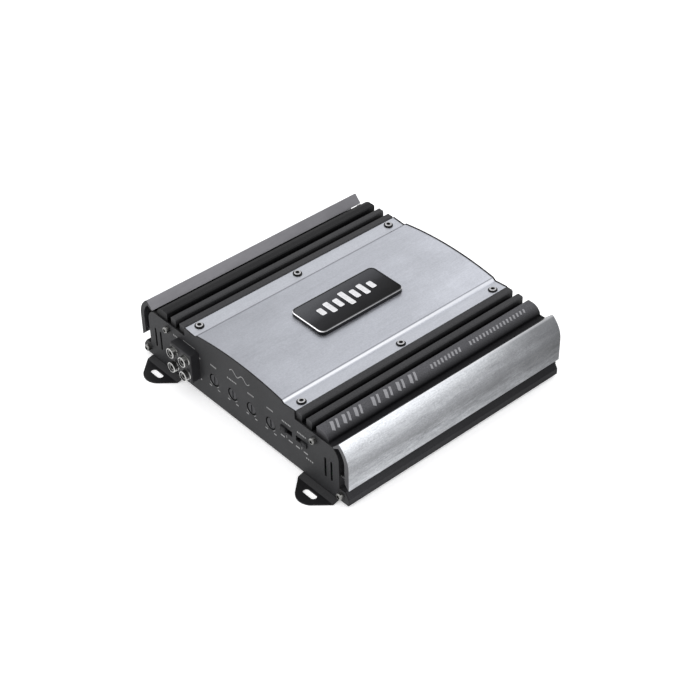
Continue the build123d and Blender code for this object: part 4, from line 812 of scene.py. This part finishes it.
LIGHTS_CAPTION_V = 40.0
DOUBLE_BAR_STARTS = (-95.0, -84.5, -74.0, -58.0, -46.5, -35.0, -23.5)
DOUBLE_BAR_X = (86.2, 92.7)
DOUBLE_BAR_LEAN = 3.2
TICK_PITCH = 3.4


def knob_marks(name):
    """A caption over a knob, its two end marks, and the ends of its scale."""
    u, v = middle(name)
    length = CROSSOVER_CAPTION_LENGTH if name == "crossover_knob" else KNOB_CAPTION_LENGTH
    lines = caption(u, KNOB_CAPTION_V, length, CONTROL_CAPTION_HEIGHT, 6)
    lines += [dash(u - 4.6, KNOB_ENDS_V, 2.6, 1.0), dash(u + 4.8, KNOB_ENDS_V, 2.6, 1.0)]
    for start in KNOB_SCALE_STARTS:
        lines.append(arc(u, v, KNOB_SCALE_RADIUS, start, start + KNOB_SCALE_SWEEP, 0.4))
    return lines


def switch_marks(name, towards):
    """A switch's caption and end marks; towards is the way its slider goes from rest."""
    u = middle(name)[0] + towards * SWITCH_TRAVEL / 2
    lines = caption(u, SWITCH_CAPTION_V, 9.6, CONTROL_CAPTION_HEIGHT, 6)
    lines += [dash(u - 4.2, SWITCH_ENDS_V, 4.2, 1.1), dash(u + 4.2, SWITCH_ENDS_V, 4.2, 1.1)]
    lines.append(upright(u, SWITCH_ENDS_V + 3.2, SWITCH_ENDS_V + 0.8, 0.4))
    return lines


def control_panel_marks():
    """Captions as plain blocks, the controls' scales and end marks, and a plain wave line."""
    lines = []
    for name in KNOBS:
        lines += knob_marks(name)
    lines += switch_marks("switch_slider_left", 1)
    lines += switch_marks("switch_slider_right", -1)
    lines += caption(75.5, 15.4, 8.0, 1.2, 4)
    lines += caption(-71.5, 36.4, 8.5, 1.4, 5)
    lines += [dash(JACK_DOT_U, v, 1.3, 1.3) for v in JACK_ROW_V]
    lines.append(dash(-56.5, 38.1, 14.0, 0.5))
    lines.append(wave_mark(1.5, 43.4, 22.0, 1.9))
    return lines


def rib_marks():
    """The wide rib's print: two groups of leaning double bars, then two runs of ticks."""
    lines = []
    for start in DOUBLE_BAR_STARTS:
        lines.append(slanted(start, *DOUBLE_BAR_X, 2.5, DOUBLE_BAR_LEAN))
        lines.append(slanted(start + 4.3, *DOUBLE_BAR_X, 1.7, DOUBLE_BAR_LEAN))
    lines += [slanted(-3.0 + index * TICK_PITCH, 88.2, 91.6, 1.5, 1.5) for index in range(9)]
    lines += [slanted(35.0 + index * TICK_PITCH, 88.4, 91.4, 1.4, 1.3) for index in range(17)]
    return lines


def power_panel_marks():
    """Generic terminal symbols: plus and minus signs, an earth sign, and captions as plain blocks."""
    earth, remote, supply = (-middle(f"power_screw_{index}")[0] for index in (1, 2, 3))
    lines = [upright(earth, EARTH_SIGN_V + 2.2, EARTH_SIGN_V, 0.5)]
    lines += [dash(earth, EARTH_SIGN_V - drop, length, 0.5) for drop, length in EARTH_BARS]
    lines += caption(remote, REMOTE_CAPTION_V, 5.4, 1.4, 3)
    lines += plus(supply, SUPPLY_SIGN_V, 3.6, 0.7)
    for index, sign in ((1, plus), (2, minus), (3, minus), (4, plus)):
        lines += sign(-middle(f"speaker_screw_{index}")[0], SPEAKER_SIGN_V, SPEAKER_SIGN_SIZE, 0.6)
    lines += caption(-middle("fuse_holder")[0], FUSE_CAPTION_V, 10.0, 1.4, 5)
    lines += caption(-middle("status_lights")[0], LIGHTS_CAPTION_V, 9.0, 1.2, 5)
    return lines


def add_marks():
    pale = screen_ink("pale_ink", (0.16, 0.16, 0.16), (0.30, 0.30, 0.30))
    soft = screen_ink("soft_ink", (0.17, 0.17, 0.18), (0.31, 0.31, 0.33))
    marks_piece("control_panel_print", control_panel_marks(), front_surface, pale, PANEL_INK)
    marks_piece("power_panel_print", power_panel_marks(), rear_surface, pale, PANEL_INK)
    marks_piece("rib_print", rib_marks(), rib_surface, soft, RIB_INK)


# ---- Stage ----
FLOOR_SIZE = 60.0
FLOOR_GLOW = 0.35
HORIZON_TONE = (0.875, 0.875, 0.88, 1)
OVERHEAD_TONE = (1, 1, 1, 1)
WORLD_STRENGTH = 1.15


def add_camera():
    data = bpy.data.cameras.new("camera")
    data.lens = LENS
    data.sensor_width = SENSOR_WIDTH
    camera = bpy.data.objects.new("camera", data)
    bpy.context.scene.collection.objects.link(camera)
    azimuth = math.radians(VIEW_AZIMUTH)
    elevation = math.radians(VIEW_ELEVATION)
    back = Vector((math.sin(azimuth) * math.cos(elevation),
                   -math.cos(azimuth) * math.cos(elevation),
                   math.sin(elevation)))
    right = Vector((0, 0, 1)).cross(back).normalized()
    up = back.cross(right)
    turn = Matrix((right, up, back)).transposed().to_4x4()
    roll = Matrix.Rotation(math.radians(VIEW_ROLL), 4, "Z")
    place = Matrix.Translation(Vector(VIEW_TARGET) + back * VIEW_DISTANCE)
    camera.matrix_world = place @ turn @ roll
    bpy.context.scene.camera = camera


def studio_floor():
    """Pale paper that glows a little, as on a light table."""
    s = Shader("studio_floor", 0.85)
    paper = s.noise(40)
    s.colour(s.mix(paper, (0.90, 0.90, 0.905), (0.93, 0.93, 0.935)))
    s.feed(s.shader.inputs["Emission Color"], s.mix(paper, (0.96, 0.96, 0.97), (1.0, 1.0, 1.0)))
    s.constant("Emission Strength", FLOOR_GLOW)
    s.bump(s.noise(2, 2.0), 0.02, 0.2)
    return s.material


def add_floor():
    bpy.ops.mesh.primitive_plane_add(size=FLOOR_SIZE, location=(0, 0, 0))
    floor = bpy.context.object
    floor.name = "floor"
    floor.data.materials.append(studio_floor())


def add_area(name, place, target, size, power):
    data = bpy.data.lights.new(name, "AREA")
    data.shape = "RECTANGLE"
    data.size, data.size_y = size
    data.energy = power
    lamp = bpy.data.objects.new(name, data)
    bpy.context.scene.collection.objects.link(lamp)
    lamp.location = place
    lamp.rotation_euler = (Vector(target) - Vector(place)).to_track_quat("-Z", "Y").to_euler()


def add_world():
    """Even studio surroundings, brighter overhead than at the sides."""
    world = bpy.data.worlds.new("studio")
    bpy.context.scene.world = world
    world.use_nodes = True
    tree = world.node_tree
    sky = tree.nodes["Background"]
    direction = tree.nodes.new("ShaderNodeTexCoord")
    split = tree.nodes.new("ShaderNodeSeparateXYZ")
    ramp = tree.nodes.new("ShaderNodeValToRGB")
    tree.links.new(direction.outputs["Generated"], split.inputs[0])
    tree.links.new(split.outputs["Z"], ramp.inputs["Fac"])
    tree.links.new(ramp.outputs["Color"], sky.inputs["Color"])
    ramp.color_ramp.elements[0].color = HORIZON_TONE
    ramp.color_ramp.elements[1].color = OVERHEAD_TONE
    sky.inputs["Strength"].default_value = WORLD_STRENGTH


paint_nodes()
add_marks()
add_camera()
add_floor()
add_area("key", place=(0.75, 0.35, 0.85), target=(0.05, -0.05, 0.03), size=(0.5, 0.9), power=1.2)
add_area("fill", place=(-0.5, -0.9, 0.7), target=(0, 0, 0.03), size=(1.0, 1.0), power=2)
add_world()
bpy.context.scene.view_settings.view_transform = "Standard"
